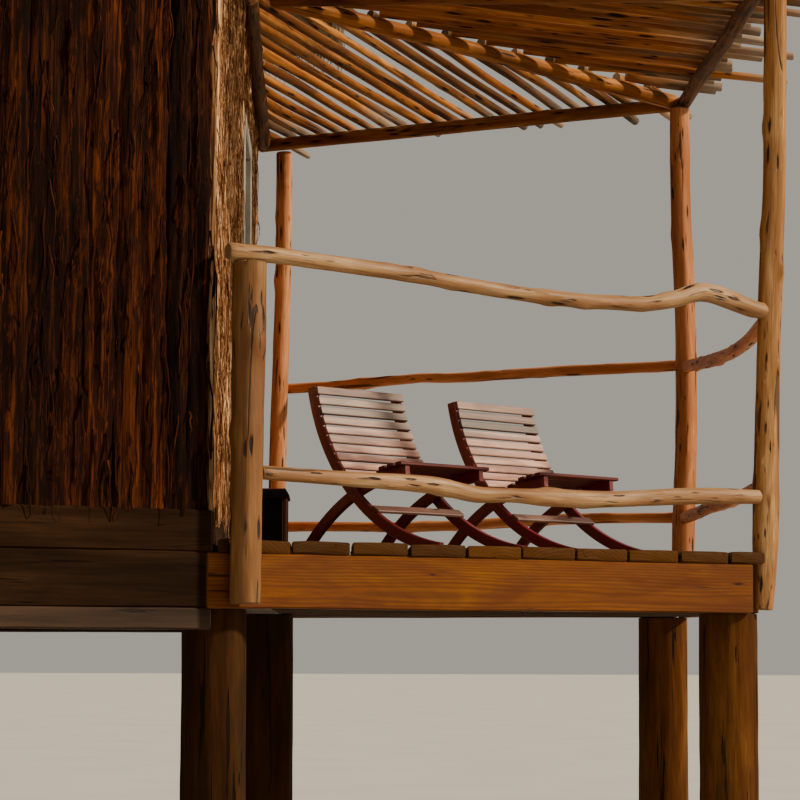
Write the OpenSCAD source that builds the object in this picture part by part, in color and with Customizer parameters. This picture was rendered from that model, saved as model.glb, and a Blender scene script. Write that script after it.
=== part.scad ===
// Tree house on log stilts: a six-sided bark-clad cabin with a half-hexagon log veranda.
// X runs from the cabin towards the outer end of the veranda, -Y is the front.
// The origin is on the ground, under the foot of the middle stilt of the door line.

/* [Platform] */
// Length of each of the three outer sides of the veranda
side = 2300; // [1900:10:2700]
// Height of the deck surface above the ground
deck_h = 2100; // [1200:10:3000]
// Thickness of the deck boards
board_t = 44; // [25:1:60]
// Width of a deck board
board_w = 205; // [120:1:260]
// Open joint between deck boards
board_gap = 8; // [4:1:15]
// How far the board ends stand proud of the fascia
board_nose = 6; // [0:1:20]
// Height of the fascia beams and floor beams
beam_h = 195; // [140:1:260]
// Thickness of the fascia beams
beam_t = 55; // [40:1:90]
// Width of the floor beam under the door line
floor_beam_w = 120; // [80:1:160]
// Width of a joist
joist_w = 60; // [40:1:90]
// Distance between joists
joist_step = 560; // [400:10:800]
// Height of the bearer timbers under the cabin
bearer_t = 75; // [50:1:150]
// Width of the bearer timbers
bearer_w = 150; // [100:1:220]

/* [Stilts] */
// Radius of a stilt at the ground
stilt_foot_r = 122; // [90:1:160]
// Radius of a stilt at its top
stilt_top_r = 114; // [80:1:150]
// Setback of the veranda stilts from the outer end
stilt_setback = 127; // [100:1:250]

/* [Cabin] */
// Setback of the door wall from the inner edge of the veranda
wall_set = 130; // [80:1:250]
// Thickness of the cabin walls
wall_t = 100; // [70:1:160]
// Height of the sill between the floor and the foot of the wall
sill_h = 102; // [60:1:160]
// Height of the wall tops above the deck
wall_h = 3000; // [2800:10:3400]
// Clear width of the doorway
door_w = 820; // [700:10:1100]
// Clear height of the doorway
door_h = 1960; // [1850:10:2100]
// Distance of the doorway's middle from the middle of the wall
door_shift = 640; // [0:10:1200]
// Width of the door frame timber
frame_w = 60; // [40:1:90]
// Depth of the door frame through the wall
frame_d = 130; // [110:1:180]

/* [Cabin roof] */
// Slope of the thatched roof
thatch_pitch = 38; // [30:1:45]
// Overhang of the eaves beyond the walls
eave = 450; // [300:10:600]
// Thickness of the thatch
thatch_t = 170; // [100:5:250]
// Radius of the log on top of the walls
wall_plate_r = 55; // [40:1:75]
// Radius of the rafters
rafter_r = 32; // [24:1:45]
// Distance between rafters
rafter_step = 600; // [400:10:900]
// Radius of the ridge and hip poles
ridge_r = 48; // [35:1:70]
// Width of the ridge cap on each slope
cap_w = 420; // [300:10:600]
// Thickness of the ridge cap
cap_t = 60; // [40:1:100]

/* [Veranda roof] */
// Height of the middle of the plate logs above the deck
plate_h = 2270; // [2100:5:2500]
// Radius of the plate logs
plate_r = 34; // [25:1:50]
// Slope of the pole roof
pole_pitch = 6.5; // [3:0.5:12]
// Distance between roof poles
pole_step = 98; // [80:1:160]
// Smallest radius of a roof pole
pole_r_min = 20; // [15:1:25]
// Largest radius of a roof pole
pole_r_max = 26; // [20:1:30]
// Shortest overhang of a pole beyond the plate log
pole_out_min = 90; // [60:5:200]
// Longest overhang of a pole beyond the plate log
pole_out_max = 470; // [250:5:600]
// Radius of the hip logs under the roof poles
hip_r = 36; // [28:1:50]

/* [Railing] */
// Radius of the tall post at the back of the cabin
post_r = 44; // [38:1:60]
// Radius of the two posts at the veranda's outer corners
corner_post_r = 50; // [42:1:60]
// Radius of the short post that carries the front rails at the cabin
rail_post_r = 56; // [46:1:66]
// Height of the front top rail above the deck at the rail post
top_rail_h = 1012; // [900:1:1100]
// Height of the front lower rail above the deck at the rail post
low_rail_h = 236; // [150:1:320]
// Height of the back top rail above the deck
back_rail_h = 972; // [900:1:1100]
// Radius of the rails
rail_r = 28; // [22:1:38]
// How far the posts reach below the deck surface
post_drop = 225; // [120:1:239]

/* [Chairs] */
// Width across the outer faces of a chair's back frame
chair_w = 500; // [420:5:600]
// Height of a chair's back
chair_h = 656; // [560:2:760]
// Distance between the two chairs, side to side
chair_step = 880; // [700:10:1000]
// Radius of the curved chair members
chair_arc_r = 820; // [760:5:900]
// Width of a curved member across its bend
member_w = 44; // [34:1:60]
// Thickness of a curved member
member_t = 24; // [18:1:32]
// Width of a slat
slat_w = 36; // [28:1:42]
// Thickness of a slat
slat_t = 14; // [10:1:20]

/* [Box] */
// Width of the lidded box
box_w = 215; // [160:5:300]
// Length of the lidded box along the wall
box_l = 330; // [250:5:450]
// Height of the lidded box without its lid
box_h = 250; // [180:5:350]
// Thickness of the box boards
box_t = 16; // [12:1:25]

/* [Hidden] */
$fn = 48;
seat = 0.4;
joint_gap = 0.5;
cos30 = cos(30);
tan30 = tan(30);
half_w = side * cos30;
beam_top = deck_h - board_t;
beam_bottom = beam_top - beam_h;
bearer_bottom = beam_bottom - bearer_t;
frame_proud = (frame_d - wall_t) / 2;

// The cabin is a hexagon with corners of 120 degrees: two long sides and four short ones.
cabin_x = -half_w;
cabin_half = half_w - wall_set;
short_y = 1.5 * side;
long_y = side + wall_set * tan30;
short_side = 2 * (short_y - long_y);
// Corners counter-clockwise from the front end of the door wall
cabin = [
    [cabin_x + cabin_half, -long_y], [cabin_x + cabin_half, long_y], [cabin_x, short_y],
    [cabin_x - cabin_half, long_y], [cabin_x - cabin_half, -long_y], [cabin_x, -short_y]
];
cabin_turn = [90, 150, 210, 270, 330, 30];
cabin_len = [2 * long_y, short_side, short_side, 2 * long_y, short_side, short_side];
wall_base = deck_h + sill_h;
wall_top = deck_h + wall_h;

// Corners of the veranda: front at the wall, front at the end, back at the end, back at the wall
front_wall_corner = [0, -side];
front_end_corner = [half_w, -side / 2];
back_end_corner = [half_w, side / 2];
// The three sides of the veranda, each with its first corner and its direction
veranda_from = [front_wall_corner, front_end_corner, back_end_corner];
veranda_turn = [30, 90, 150];

wood_tan = [0.72, 0.5, 0.3];
wood_orange = [0.66, 0.37, 0.17];
wood_dark = [0.3, 0.17, 0.1];
bark_red = [0.27, 0.12, 0.08];
weathered = [0.5, 0.46, 0.34];
straw = [0.6, 0.5, 0.32];
burgundy = [0.36, 0.05, 0.09];

// Places children on one side of a polygon: X runs along the side, Y points inwards.
module on_side(corner, turn) {
    translate([corner[0], corner[1], 0])
        rotate(turn)
            children();
}

// A bar along a side between t0 and t1, set in by inset and d wide, with 120 degree mitres
// where m0 or m1 is 1 and square ends where it is 0.
module side_bar(t0, t1, inset, d, z0, z1, m0 = 1, m1 = 1) {
    far = inset + d;
    translate([0, 0, z0])
        linear_extrude(z1 - z0)
            polygon([
                [t0 + m0 * inset * tan30, inset],
                [t1 - m1 * inset * tan30, inset],
                [t1 - m1 * far * tan30, far],
                [t0 + m0 * far * tan30, far]
            ]);
}

// Half of the depth in Y that a hexagon side leaves at x, for boards and joists
function veranda_y(x) = side - x * tan30;
function cabin_y(x, inset) = short_y - abs(x - cabin_x) * tan30 - inset / cos30;

// A log along X through hand-set bends [t, y, z, radius], as a smooth curve with round sections.
function slope_at(bends, i, k) =
    let (a = max(0, i - 1), b = min(len(bends) - 1, i + 1))
        (bends[b][k] - bends[a][k]) / (bends[b][0] - bends[a][0]);
function bend_at(bends, t, k, i = 0) =
    i + 2 < len(bends) && t > bends[i + 1][0] ? bend_at(bends, t, k, i + 1) :
    let (
        a = bends[i],
        b = bends[i + 1],
        dt = b[0] - a[0],
        u = max(0, min(1, (t - a[0]) / dt))
    )
        a[k] + (b[k] - a[k]) * (3 * u * u - 2 * u * u * u)
            + dt * u * (1 - u) * ((1 - u) * slope_at(bends, i, k) - u * slope_at(bends, i + 1, k));
module bent_log(bends, rings = 22, sides = 12) {
    t0 = bends[0][0];
    t1 = bends[len(bends) - 1][0];
    points = [
        for (i = [0 : rings - 1])
            let (t = t0 + (t1 - t0) * i / (rings - 1), r = bend_at(bends, t, 3))
                for (j = [0 : sides - 1])
                    [
                        t,
                        bend_at(bends, t, 1) + r * cos(360 * j / sides),
                        bend_at(bends, t, 2) + r * sin(360 * j / sides)
                    ]
    ];
    walls = [
        for (i = [0 : rings - 2])
            for (j = [0 : sides - 1])
                let (n = (j + 1) % sides)
                    each [
                        [i * sides + j, i * sides + n, (i + 1) * sides + n],
                        [i * sides + j, (i + 1) * sides + n, (i + 1) * sides + j]
                    ]
    ];
    first = [for (j = [sides - 1 : -1 : 0]) j];
    last = [for (j = [0 : sides - 1]) (rings - 1) * sides + j];
    polyhedron(points, concat([first, last], walls));
}

// An upright log: bends are [height, x, y, radius].
module bent_post(bends, rings = 12) {
    rotate([0, -90, 0])
        bent_log([for (b = bends) [b[0], b[2], -b[1], b[3]]], rings);
}

// A straight pole on a sloping roof facet. It crosses the wall line at t, lies on a log whose
// middle is at height z with radius carrier_r, and runs from out beyond it to depth inside it.
module roof_pole(t, r, out, depth, z, carrier_r, pitch, skew = 0) {
    lift = (carrier_r + r + seat) / cos(pitch);
    translate([t, 0, z + lift])
        rotate([pitch, 0, 0])
            rotate([0, 0, skew])
                translate([0, -out / cos(pitch), 0])
                    rotate([-90, 0, 0])
                        cylinder(h = (out + depth) / cos(pitch), r = r);
}

// Stilts

module stilt(x, y, top) {
    translate([x, y, 0])
        cylinder(h = top, r1 = stilt_foot_r, r2 = stilt_top_r);
}

module veranda_stilts() {
    color(wood_dark)
        for (k = [-1, 1])
            stilt(half_w - stilt_setback, k * (side / 2 - 95), beam_bottom);
}

module cabin_stilts() {
    inner = 200;
    color(wood_dark) {
        stilt(0, 0, beam_bottom);
        stilt(cabin_x, 0, beam_bottom);
        stilt(cabin_x - cabin_half + bearer_w / 2, 0, bearer_bottom);
        for (k = [-1, 1]) {
            stilt(-wall_set, k * (side - bearer_w), beam_bottom);
            stilt(cabin_x, k * (short_y - inner), bearer_bottom);
            stilt(cabin_x - cabin_half + bearer_w, k * (long_y - bearer_w), bearer_bottom);
        }
    }
}

// Floor structure

module fascia(i, t0, t1) {
    on_side(veranda_from[i], veranda_turn[i])
        side_bar(t0, t1, 0, beam_t, beam_bottom, beam_top, 0, 0);
}

// How far the front and back fascias stop short of the outer corners, and run past the door line
fascia_end = 46;
fascia_tail = 170;

module front_fascia_beam() {
    color(wood_orange)
        fascia(0, -fascia_tail, side - fascia_end);
}

module end_fascia_beam() {
    color(wood_orange)
        fascia(1, corner_set + corner_post_r + seat, side - corner_set - corner_post_r - seat);
}

module back_fascia_beam() {
    color(wood_orange)
        fascia(2, fascia_end, side + fascia_tail);
}

module floor_beams() {
    beam_x1 = -wall_set + 30;
    beam_x0 = -wall_set - wall_t;
    inner_y = veranda_y(-floor_beam_w / 2) - beam_t / cos30 - joint_gap;
    door_beam_y = veranda_y(beam_x1) - beam_t / cos30 - joint_gap;
    middle_y = cabin_y(cabin_x + floor_beam_w / 2, beam_t) - joint_gap;
    color(wood_dark) {
        // Beam under the inner edge of the veranda
        translate([-floor_beam_w / 2, 0, beam_bottom])
            linear_extrude(beam_h)
                polygon([
                    [0, -inner_y], [floor_beam_w, -inner_y + floor_beam_w * tan30],
                    [floor_beam_w, inner_y - floor_beam_w * tan30], [0, inner_y]
                ]);
        // Beam under the door wall
        translate([beam_x0, -door_beam_y, beam_bottom])
            cube([beam_x1 - beam_x0, 2 * door_beam_y, beam_h]);
        // Beam under the middle of the cabin
        translate([cabin_x - floor_beam_w / 2, -middle_y, beam_bottom])
            cube([floor_beam_w, 2 * middle_y, beam_h]);
    }
}

module veranda_joists() {
    x0 = floor_beam_w / 2 + joint_gap;
    count = floor((side - 300) / joist_step);
    color(wood_dark)
        for (i = [-count : count]) {
            far_y = abs(i) * joist_step + joist_w / 2;
            leg_x = (side - far_y - beam_t / cos30) / tan30;
            x1 = min(half_w - beam_t, leg_x) - joint_gap;
            translate([x0, i * joist_step - joist_w / 2, beam_bottom])
                cube([x1 - x0, joist_w, beam_h]);
        }
}

module cabin_joists() {
    count = floor((short_y - 500) / joist_step);
    gap_x = floor_beam_w / 2 + joint_gap;
    color(wood_dark)
        for (i = [-count : count]) {
            far_y = abs(i) * joist_step + joist_w / 2;
            run = min(cabin_half - wall_t, (short_y - far_y - beam_t / cos30) / tan30) - joint_gap;
            for (k = [-1, 1])
                translate([cabin_x + (k > 0 ? gap_x : -run), i * joist_step - joist_w / 2, beam_bottom])
                    cube([run - gap_x, joist_w, beam_h]);
        }
}

// One board across the platform from x0 to x1, with both ends cut to the outline.
module cross_board(x0, x1, y0, y1, z, t) {
    translate([0, 0, z])
        linear_extrude(t)
            polygon([[x0, -y0], [x1, -y1], [x1, y1], [x0, y0]]);
}

module post_notch(at, bends) {
    r = max(bend_at(bends, beam_top, 3), bend_at(bends, deck_h, 3));
    translate([at[0] + bend_at(bends, deck_h, 1), at[1], beam_top - 1])
        cylinder(h = board_t + 2, r = r + seat);
}

board_first = -wall_set + frame_proud + joint_gap;
board_last = half_w + board_nose;
board_offset = 142 - board_gap / 2;

module deck_boards() {
    nose = board_nose / cos30;
    step = board_w + board_gap;
    count = ceil((board_last - board_offset) / step);
    color(weathered)
        difference() {
            for (i = [-1 : count]) {
                x0 = max(board_first, board_offset + (i - 1) * step + board_gap);
                x1 = min(board_last, board_offset + i * step);
                if (x1 - x0 > 20)
                    cross_board(x0, x1, veranda_y(x0) + nose, veranda_y(x1) + nose, beam_top, board_t);
            }
            // Notches for the four posts
            post_notch([half_w, corner_set - side / 2], front_post_bends);
            post_notch([half_w, side / 2 - corner_set], back_post_bends);
            post_notch([rail_post_x, -rail_post_y], rail_post_bends);
            post_notch([0, wall_post_y], wall_post_bends);
        }
}

module cabin_bearers() {
    color(wood_dark)
        for (i = [1 : 5])
            on_side(cabin[i], cabin_turn[i])
                side_bar(
                    joint_gap, cabin_len[i] - joint_gap, 0, bearer_w, bearer_bottom, beam_bottom,
                    i == 1 ? 0 : 1, i == 5 ? 0 : 1
                );
}

module cabin_rim_beams() {
    tail = fascia_tail - wall_set / cos30;
    color(wood_dark)
        for (i = [1 : 5])
            on_side(cabin[i], cabin_turn[i])
                side_bar(
                    i == 1 ? tail + joint_gap : joint_gap,
                    cabin_len[i] - (i == 5 ? tail + joint_gap : joint_gap),
                    0, beam_t, beam_bottom, beam_top,
                    i == 1 ? 0 : 1, i == 5 ? 0 : 1
                );
}

module cabin_floor() {
    inner = wall_t + joint_gap;
    x_left = cabin_x - cabin_half + inner;
    x_right = cabin_x + cabin_half - inner - frame_proud;
    step = board_w + board_gap;
    count = floor((x_right - cabin_x - board_w / 2) / step);
    color(weathered)
        for (i = [-count - 1 : count + 1]) {
            x0 = max(x_left, cabin_x + i * step - board_w / 2);
            x1 = min(x_right, cabin_x + i * step + board_w / 2);
            translate([0, 0, beam_top])
                linear_extrude(board_t)
                    polygon([
                        [x0, -cabin_y(x0, inner)],
                        if (x0 < cabin_x && x1 > cabin_x) [cabin_x, -cabin_y(cabin_x, inner)],
                        [x1, -cabin_y(x1, inner)],
                        [x1, cabin_y(x1, inner)],
                        if (x0 < cabin_x && x1 > cabin_x) [cabin_x, cabin_y(cabin_x, inner)],
                        [x0, cabin_y(x0, inner)]
                    ]);
        }
}

// Cabin walls

// The doorway, along the door wall from its front end
door_mid = long_y + door_shift;
opening_0 = door_mid - door_w / 2 - frame_w;
opening_1 = door_mid + door_w / 2 + frame_w;
opening_top = deck_h + door_h + frame_w;

module wall_side(i, z0, z1) {
    on_side(cabin[i], cabin_turn[i])
        side_bar(joint_gap, cabin_len[i] - joint_gap, 0, wall_t, z0, z1);
}

module wall_sills() {
    color(wood_dark) {
        for (i = [1 : 5])
            wall_side(i, beam_top, wall_base);
        on_side(cabin[0], cabin_turn[0]) {
            side_bar(joint_gap, opening_0, 0, wall_t, beam_top, wall_base, 1, 0);
            side_bar(opening_1, cabin_len[0] - joint_gap, 0, wall_t, beam_top, wall_base, 0, 1);
        }
    }
}

module front_wall() {
    color(bark_red)
        wall_side(5, wall_base, wall_top);
}

module front_left_wall() {
    color(bark_red)
        wall_side(4, wall_base, wall_top);
}

module left_wall() {
    color(bark_red)
        wall_side(3, wall_base, wall_top);
}

module back_left_wall() {
    color(bark_red)
        wall_side(2, wall_base, wall_top);
}

module back_wall() {
    color(bark_red)
        wall_side(1, wall_base, wall_top);
}

module door_wall_front_part() {
    color(bark_red)
        on_side(cabin[0], cabin_turn[0])
            side_bar(joint_gap, opening_0, 0, wall_t, wall_base, wall_top, 1, 0);
}

module door_wall_back_part() {
    color(bark_red)
        on_side(cabin[0], cabin_turn[0])
            side_bar(opening_1, cabin_len[0] - joint_gap, 0, wall_t, wall_base, wall_top, 0, 1);
}

module door_wall_head() {
    color(bark_red)
        on_side(cabin[0], cabin_turn[0])
            side_bar(opening_0 + joint_gap, opening_1 - joint_gap, 0, wall_t, opening_top, wall_top, 0, 0);
}

module door_frame() {
    color([0.62, 0.6, 0.56])
        on_side(cabin[0], cabin_turn[0])
            translate([0, -frame_proud, 0])
                difference() {
                    translate([opening_0 + joint_gap, 0, beam_top])
                        cube([
                            opening_1 - opening_0 - 2 * joint_gap, frame_d, opening_top - beam_top - seat
                        ]);
                    translate([opening_0 + frame_w, -1, deck_h])
                        cube([door_w, frame_d + 2, door_h]);
                }
}

// Cabin roof

wall_plate_z = wall_top + wall_plate_r + seat;
wall_plate_in = wall_t / 2;
roof_depth = cabin_half - wall_plate_in;
// Clearance between a short rafter and the hip that it runs up to
rafter_clear = 4;
// Least distance of a rafter from the end of its side, and how far rafters stop short of the eave
rafter_edge = 150;
rafter_short = 60;
// A reach past the whole house, for cutting shapes
far = 4 * side;
// How far the ridge cap runs past the ends of the ridge
cap_past = 150;

module wall_plate_logs() {
    color(wood_tan)
        for (i = [0 : 5])
            intersection() {
                on_side(cabin[i], cabin_turn[i])
                    translate([0, wall_plate_in, wall_plate_z])
                        rotate([0, 90, 0])
                            cylinder(h = cabin_len[i], r = wall_plate_r);
                wall_side_slab(i, wall_top - 10, wall_plate_z + wall_plate_r + 10, wall_plate_r * 2 + 20);
            }
}

// The wedge of a side between its two mitre planes
module wall_side_slab(i, z0, z1, d) {
    on_side(cabin[i], cabin_turn[i])
        side_bar(joint_gap, cabin_len[i] - joint_gap, -20, d + 20, z0, z1);
}

// Height of the underside of the rafters above a point that is n inside the plate log's middle
function rafter_under(n) =
    wall_plate_z + (wall_plate_r + seat) / cos(thatch_pitch) + n * tan(thatch_pitch);

module rafters() {
    color(wood_tan)
        for (i = [0 : 5])
            on_side(cabin[i], cabin_turn[i])
                translate([0, wall_plate_in, 0]) {
                    // Sides shortened to the line of the plate logs
                    t_in = wall_plate_in * tan30;
                    run = cabin_len[i] - 2 * t_in;
                    count = floor((run - 2 * rafter_edge) / rafter_step);
                    first = (run - count * rafter_step) / 2;
                    for (j = [0 : count]) {
                        t = first + j * rafter_step;
                        free = min(t, run - t) - rafter_r - rafter_clear;
                        depth = min(free / tan30, roof_depth - rafter_r * sin(thatch_pitch) - joint_gap);
                        roof_pole(
                            t_in + t, rafter_r, eave - rafter_short, depth, wall_plate_z, wall_plate_r,
                            thatch_pitch
                        );
                    }
                }
}

// A straight log from one point of the plan to another, rising from near_z to far_z. It starts
// and ends past the two points by the lengths in past.
module sloping_log(from, to, near_z, far_z, r, past) {
    flat = norm(to - from);
    turn = atan2(to[1] - from[1], to[0] - from[0]);
    lean = atan2(far_z - near_z, flat);
    translate([from[0], from[1], near_z])
        rotate(turn)
            rotate([0, 90 - lean, 0])
                translate([0, 0, -past[0] / cos(lean)])
                    cylinder(h = (flat + past[0] + past[1]) / cos(lean), r = r);
}

// A tall wedge over the plan with its tip at p, between the directions a0 and a1.
module plan_wedge(p, a0, a1) {
    mid = (a0 + a1) / 2;
    tip = p + joint_gap / 2 / sin((a1 - a0) / 2) * [cos(mid), sin(mid)];
    linear_extrude(wall_top + far)
        polygon([
            tip, tip + far * [cos(a0), sin(a0)], tip + 1.4 * far * [cos(mid), sin(mid)],
            tip + far * [cos(a1), sin(a1)]
        ]);
}

// The ridge pole and the six hip poles lie just under the rafters and meet at the ridge ends.
ridge_half = short_y - wall_plate_in / cos30 - roof_depth / cos30;
ridge_z = rafter_under(roof_depth) - ridge_r / cos(thatch_pitch) - seat;

module ridge_and_hip_poles() {
    near_z = rafter_under(0) - ridge_r / cos(thatch_pitch) - seat;
    past = 80;
    clear = wall_plate_in + wall_plate_r + seat;
    ridge_end = [cabin_x, ridge_half];
    color(wood_tan) {
        intersection() {
            sloping_log([cabin_x, -ridge_half], ridge_end, ridge_z, ridge_z, ridge_r, [past, past]);
            plan_wedge([cabin_x, -ridge_half], 30, 150);
            plan_wedge([cabin_x, ridge_half], -150, -30);
        }
        for (m = [0, 1])
            mirror([0, m, 0])
                for (i = [1 : 3]) {
                    corner = cabin[i];
                    toward = (ridge_end - corner) / norm(ridge_end - corner);
                    // Directions of the wedge that each hip may fill, halfway to its neighbours
                    span = [[-30, 60], [60, 120], [120, 210]][i - 1];
                    intersection() {
                        sloping_log(
                            corner + toward * wall_plate_in / cos30, ridge_end, near_z, ridge_z,
                            ridge_r, [0, past]
                        );
                        plan_wedge(ridge_end, span[0], span[1]);
                        linear_extrude(wall_top + far)
                            polygon([
                                for (j = [0 : 5])
                                    let (c = cabin[j] - [cabin_x, 0])
                                        cabin[j] - clear / cos30 * [
                                            abs(c[0]) < 1 ? 0 : sign(c[0]) * cos30,
                                            abs(c[0]) < 1 ? sign(c[1]) : sign(c[1]) / 2
                                        ]
                            ]);
                    }
                }
    }
}

// One thatched slope: a prism over its plan between two sloping planes.
module thatch_slope(i) {
    lift = 2 * rafter_r + seat;
    z_eave = rafter_under(-wall_plate_in - eave) + lift / cos(thatch_pitch);
    depth = cabin_half - joint_gap;
    reach = eave + depth;
    long = cabin_len[i];
    out_t = eave * tan30;
    apex = depth * tan30;
    flat_top = max(0.5, long - 2 * apex);
    mid = long / 2;
    on_side(cabin[i], cabin_turn[i])
        intersection() {
            linear_extrude(wall_top + far)
                polygon([
                    [-out_t + joint_gap, -eave], [long + out_t - joint_gap, -eave],
                    [mid + flat_top / 2, depth], [mid - flat_top / 2, depth]
                ]);
            translate([-2 * out_t, -eave, z_eave])
                rotate([thatch_pitch, 0, 0])
                    translate([0, -thatch_t, 0])
                        cube([long + 4 * out_t, reach / cos(thatch_pitch) + 2 * thatch_t, thatch_t]);
        }
}

module cabin_thatch() {
    color(straw)
        for (i = [0 : 5])
            thatch_slope(i);
}

module ridge_cap() {
    lift = (2 * rafter_r + seat + thatch_t + seat) / cos(thatch_pitch);
    top_z = rafter_under(roof_depth) + lift;
    drop = cap_w * tan(thatch_pitch);
    up = cap_t / cos(thatch_pitch);
    length = 2 * (ridge_half + cap_past);
    color(straw)
        translate([cabin_x, length / 2, top_z])
            rotate([90, 0, 0])
                linear_extrude(length)
                    polygon([
                        [0, 0], [-cap_w, -drop], [-cap_w, up - drop],
                        [0, up], [cap_w, up - drop], [cap_w, -drop]
                    ]);
}

// Veranda posts and rails

plate_z = deck_h + plate_h;
post_top = plate_z - plate_r - seat;
post_foot = deck_h - post_drop;
// The outer posts stand in notches of the deck, set back from the veranda's corners.
corner_set = 60;
// The posts at the cabin stand outside the fascia beams.
rail_post_out = rail_post_r + seat;
rail_post_x = -14;
rail_post_y = side + rail_post_out / cos30 - rail_post_x * tan30;
wall_post_out = post_r + seat;
wall_post_y = side + wall_post_out / cos30;

// Heights of the rails
front_top = deck_h + top_rail_h;
back_top = deck_h + back_rail_h;
low = deck_h + low_rail_h;
rail_top_r = rail_r + 2;

// The front corner post leans outwards and ends beside the plate log.
front_post_top = plate_z + 4;
front_post_lean = plate_r + corner_post_r - 4 + seat;
front_post_bends = [
    [post_foot, 9, 0, corner_post_r - 12], [beam_top, 17, 0, corner_post_r - 2],
    [deck_h + 60, 20, 0, corner_post_r + 3], [deck_h + 400, 28, 0, corner_post_r],
    [deck_h + 900, 44, 0, corner_post_r - 2], [deck_h + 1500, 68, 0, corner_post_r - 3],
    [plate_z - 120, front_post_lean, 0, corner_post_r - 4],
    [front_post_top, front_post_lean, 0, corner_post_r - 4]
];
back_post_bends = [
    [post_foot, -24, 0, corner_post_r], [deck_h, -24, 0, corner_post_r + 4],
    [deck_h + 700, -4, 0, corner_post_r + 3], [deck_h + 1200, -5, 0, corner_post_r + 2],
    [deck_h + 1800, -26, 0, corner_post_r - 1], [post_top, -27, 0, corner_post_r]
];
rail_post_bends = [
    [post_foot, -2, 0, rail_post_r - 3], [deck_h, 0, 0, rail_post_r - 1],
    [front_top - 4 - rail_top_r - seat, 6, 0, rail_post_r + 5]
];
wall_post_bends = [
    [post_foot, -12, 0, post_r], [deck_h + 600, -8, 0, post_r + 1], [deck_h + 1700, 16, 0, post_r - 2],
    [post_top, 17, 0, post_r - 3]
];

module front_rail_post() {
    color(wood_tan)
        translate([rail_post_x, -rail_post_y, 0])
            bent_post(rail_post_bends, 10);
}

module front_corner_post() {
    color(wood_tan)
        translate([half_w, corner_set - side / 2, 0])
            bent_post(front_post_bends, 20);
}

module back_corner_post() {
    color(wood_tan)
        translate([half_w, side / 2 - corner_set, 0])
            bent_post(back_post_bends, 18);
}

module back_wall_post() {
    color(wood_tan)
        translate([0, wall_post_y, 0])
            bent_post(wall_post_bends, 14);
}

// Radius of a post where a rail butts against it at height z
function post_room(bends, z) = max([for (h = [z - rail_r, z, z + rail_r]) bend_at(bends, h, 3)]) + seat;

// Middle of a corner post at height z, from the corner: along a slanting side and outwards from it
function corner_along(bends, z) = bend_at(bends, z, 1) * cos30 + corner_set / 2;
function corner_out(bends, z) = bend_at(bends, z, 1) / 2 - corner_set * cos30;

// Where a rail along a slanting side stops at a leaning corner post
function rail_stop(bends, z) =
    side - seat
        + min([for (h = [z - 20, z, z + 20]) corner_along(bends, h) - bend_at(bends, h, 3)]);

// The top rail lies on the short post, the lower one butts against it, and both end at the
// corner post.
module front_rails() {
    z_top = front_top - 46;
    z_low = low - 14;
    t_post = (rail_post_x - rail_post_out / 2) / cos30;
    t_low = t_post + bend_at(rail_post_bends, low, 1) * cos30 + post_room(rail_post_bends, low);
    t_top_end = rail_stop(front_post_bends, z_top);
    t_low_end = rail_stop(front_post_bends, z_low);
    n_top = corner_out(front_post_bends, z_top) + rail_r - 2;
    n_low = corner_out(front_post_bends, z_low) + rail_r - 8;
    n_post = rail_post_out;
    color(wood_tan)
        on_side(front_wall_corner, 30) {
            bent_log(
                [
                    [-130, -n_post, front_top - 4, rail_top_r], [-40, -n_post, front_top - 4, rail_top_r],
                    [60, -n_post, front_top - 4, rail_r + 1], [570, -n_post, front_top - 29, rail_r],
                    [1020, -48, front_top - 60, rail_r], [1400, -42, front_top - 72, rail_r + 1],
                    [1700, -32, front_top - 62, rail_r + 2], [1850, -26, front_top - 34, rail_r + 4],
                    [1960, -22, front_top + 2, rail_r + 8], [2050, -18, front_top + 1, rail_r + 9],
                    [2190, -n_top - 5, front_top - 26, rail_r + 8],
                    [t_top_end - 30, -n_top, z_top - 1, rail_r + 6], [t_top_end, -n_top, z_top, rail_r + 2]
                ],
                44
            );
            bent_log(
                [
                    [t_low, -n_post, low, rail_r - 4], [330, -52, low - 9, rail_r - 1],
                    [720, -46, low - 21, rail_r + 3], [920, -41, low - 49, rail_r + 1],
                    [1080, -34, low - 47, rail_r - 2], [1260, -28, low - 51, rail_r + 4],
                    [1570, -16, low - 46, rail_r + 3], [1850, -4, low - 27, rail_r + 4],
                    [2100, 8, low - 17, rail_r + 3], [t_low_end, -n_low, z_low, rail_r]
                ],
                36
            );
        }
}

// The end rails run between the corner posts.
module end_rails() {
    color(wood_tan)
        on_side(front_end_corner, 90)
            for (
                rail = [
                    // Height at both ends, and the bends between: along, inwards, height
                    [back_top - 26, back_top - 6, [[600, -34, back_top - 68], [1250, -20, back_top - 60]]],
                    [low + 40, low + 4, [[700, -12, low + 20], [1500, 4, low + 13]]]
                ]
            ) {
                bent_log(
                    [
                        [
                            corner_set + post_room(front_post_bends, rail[0]),
                            -bend_at(front_post_bends, rail[0], 1), rail[0], rail_r + 2
                        ],
                        for (b = rail[2]) [b[0], b[1], b[2], rail_r + 1],
                        [
                            side - corner_set - post_room(back_post_bends, rail[1]),
                            -bend_at(back_post_bends, rail[1], 1), rail[1], rail_r + 2
                        ]
                    ],
                    18
                );
            }
}

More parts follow.
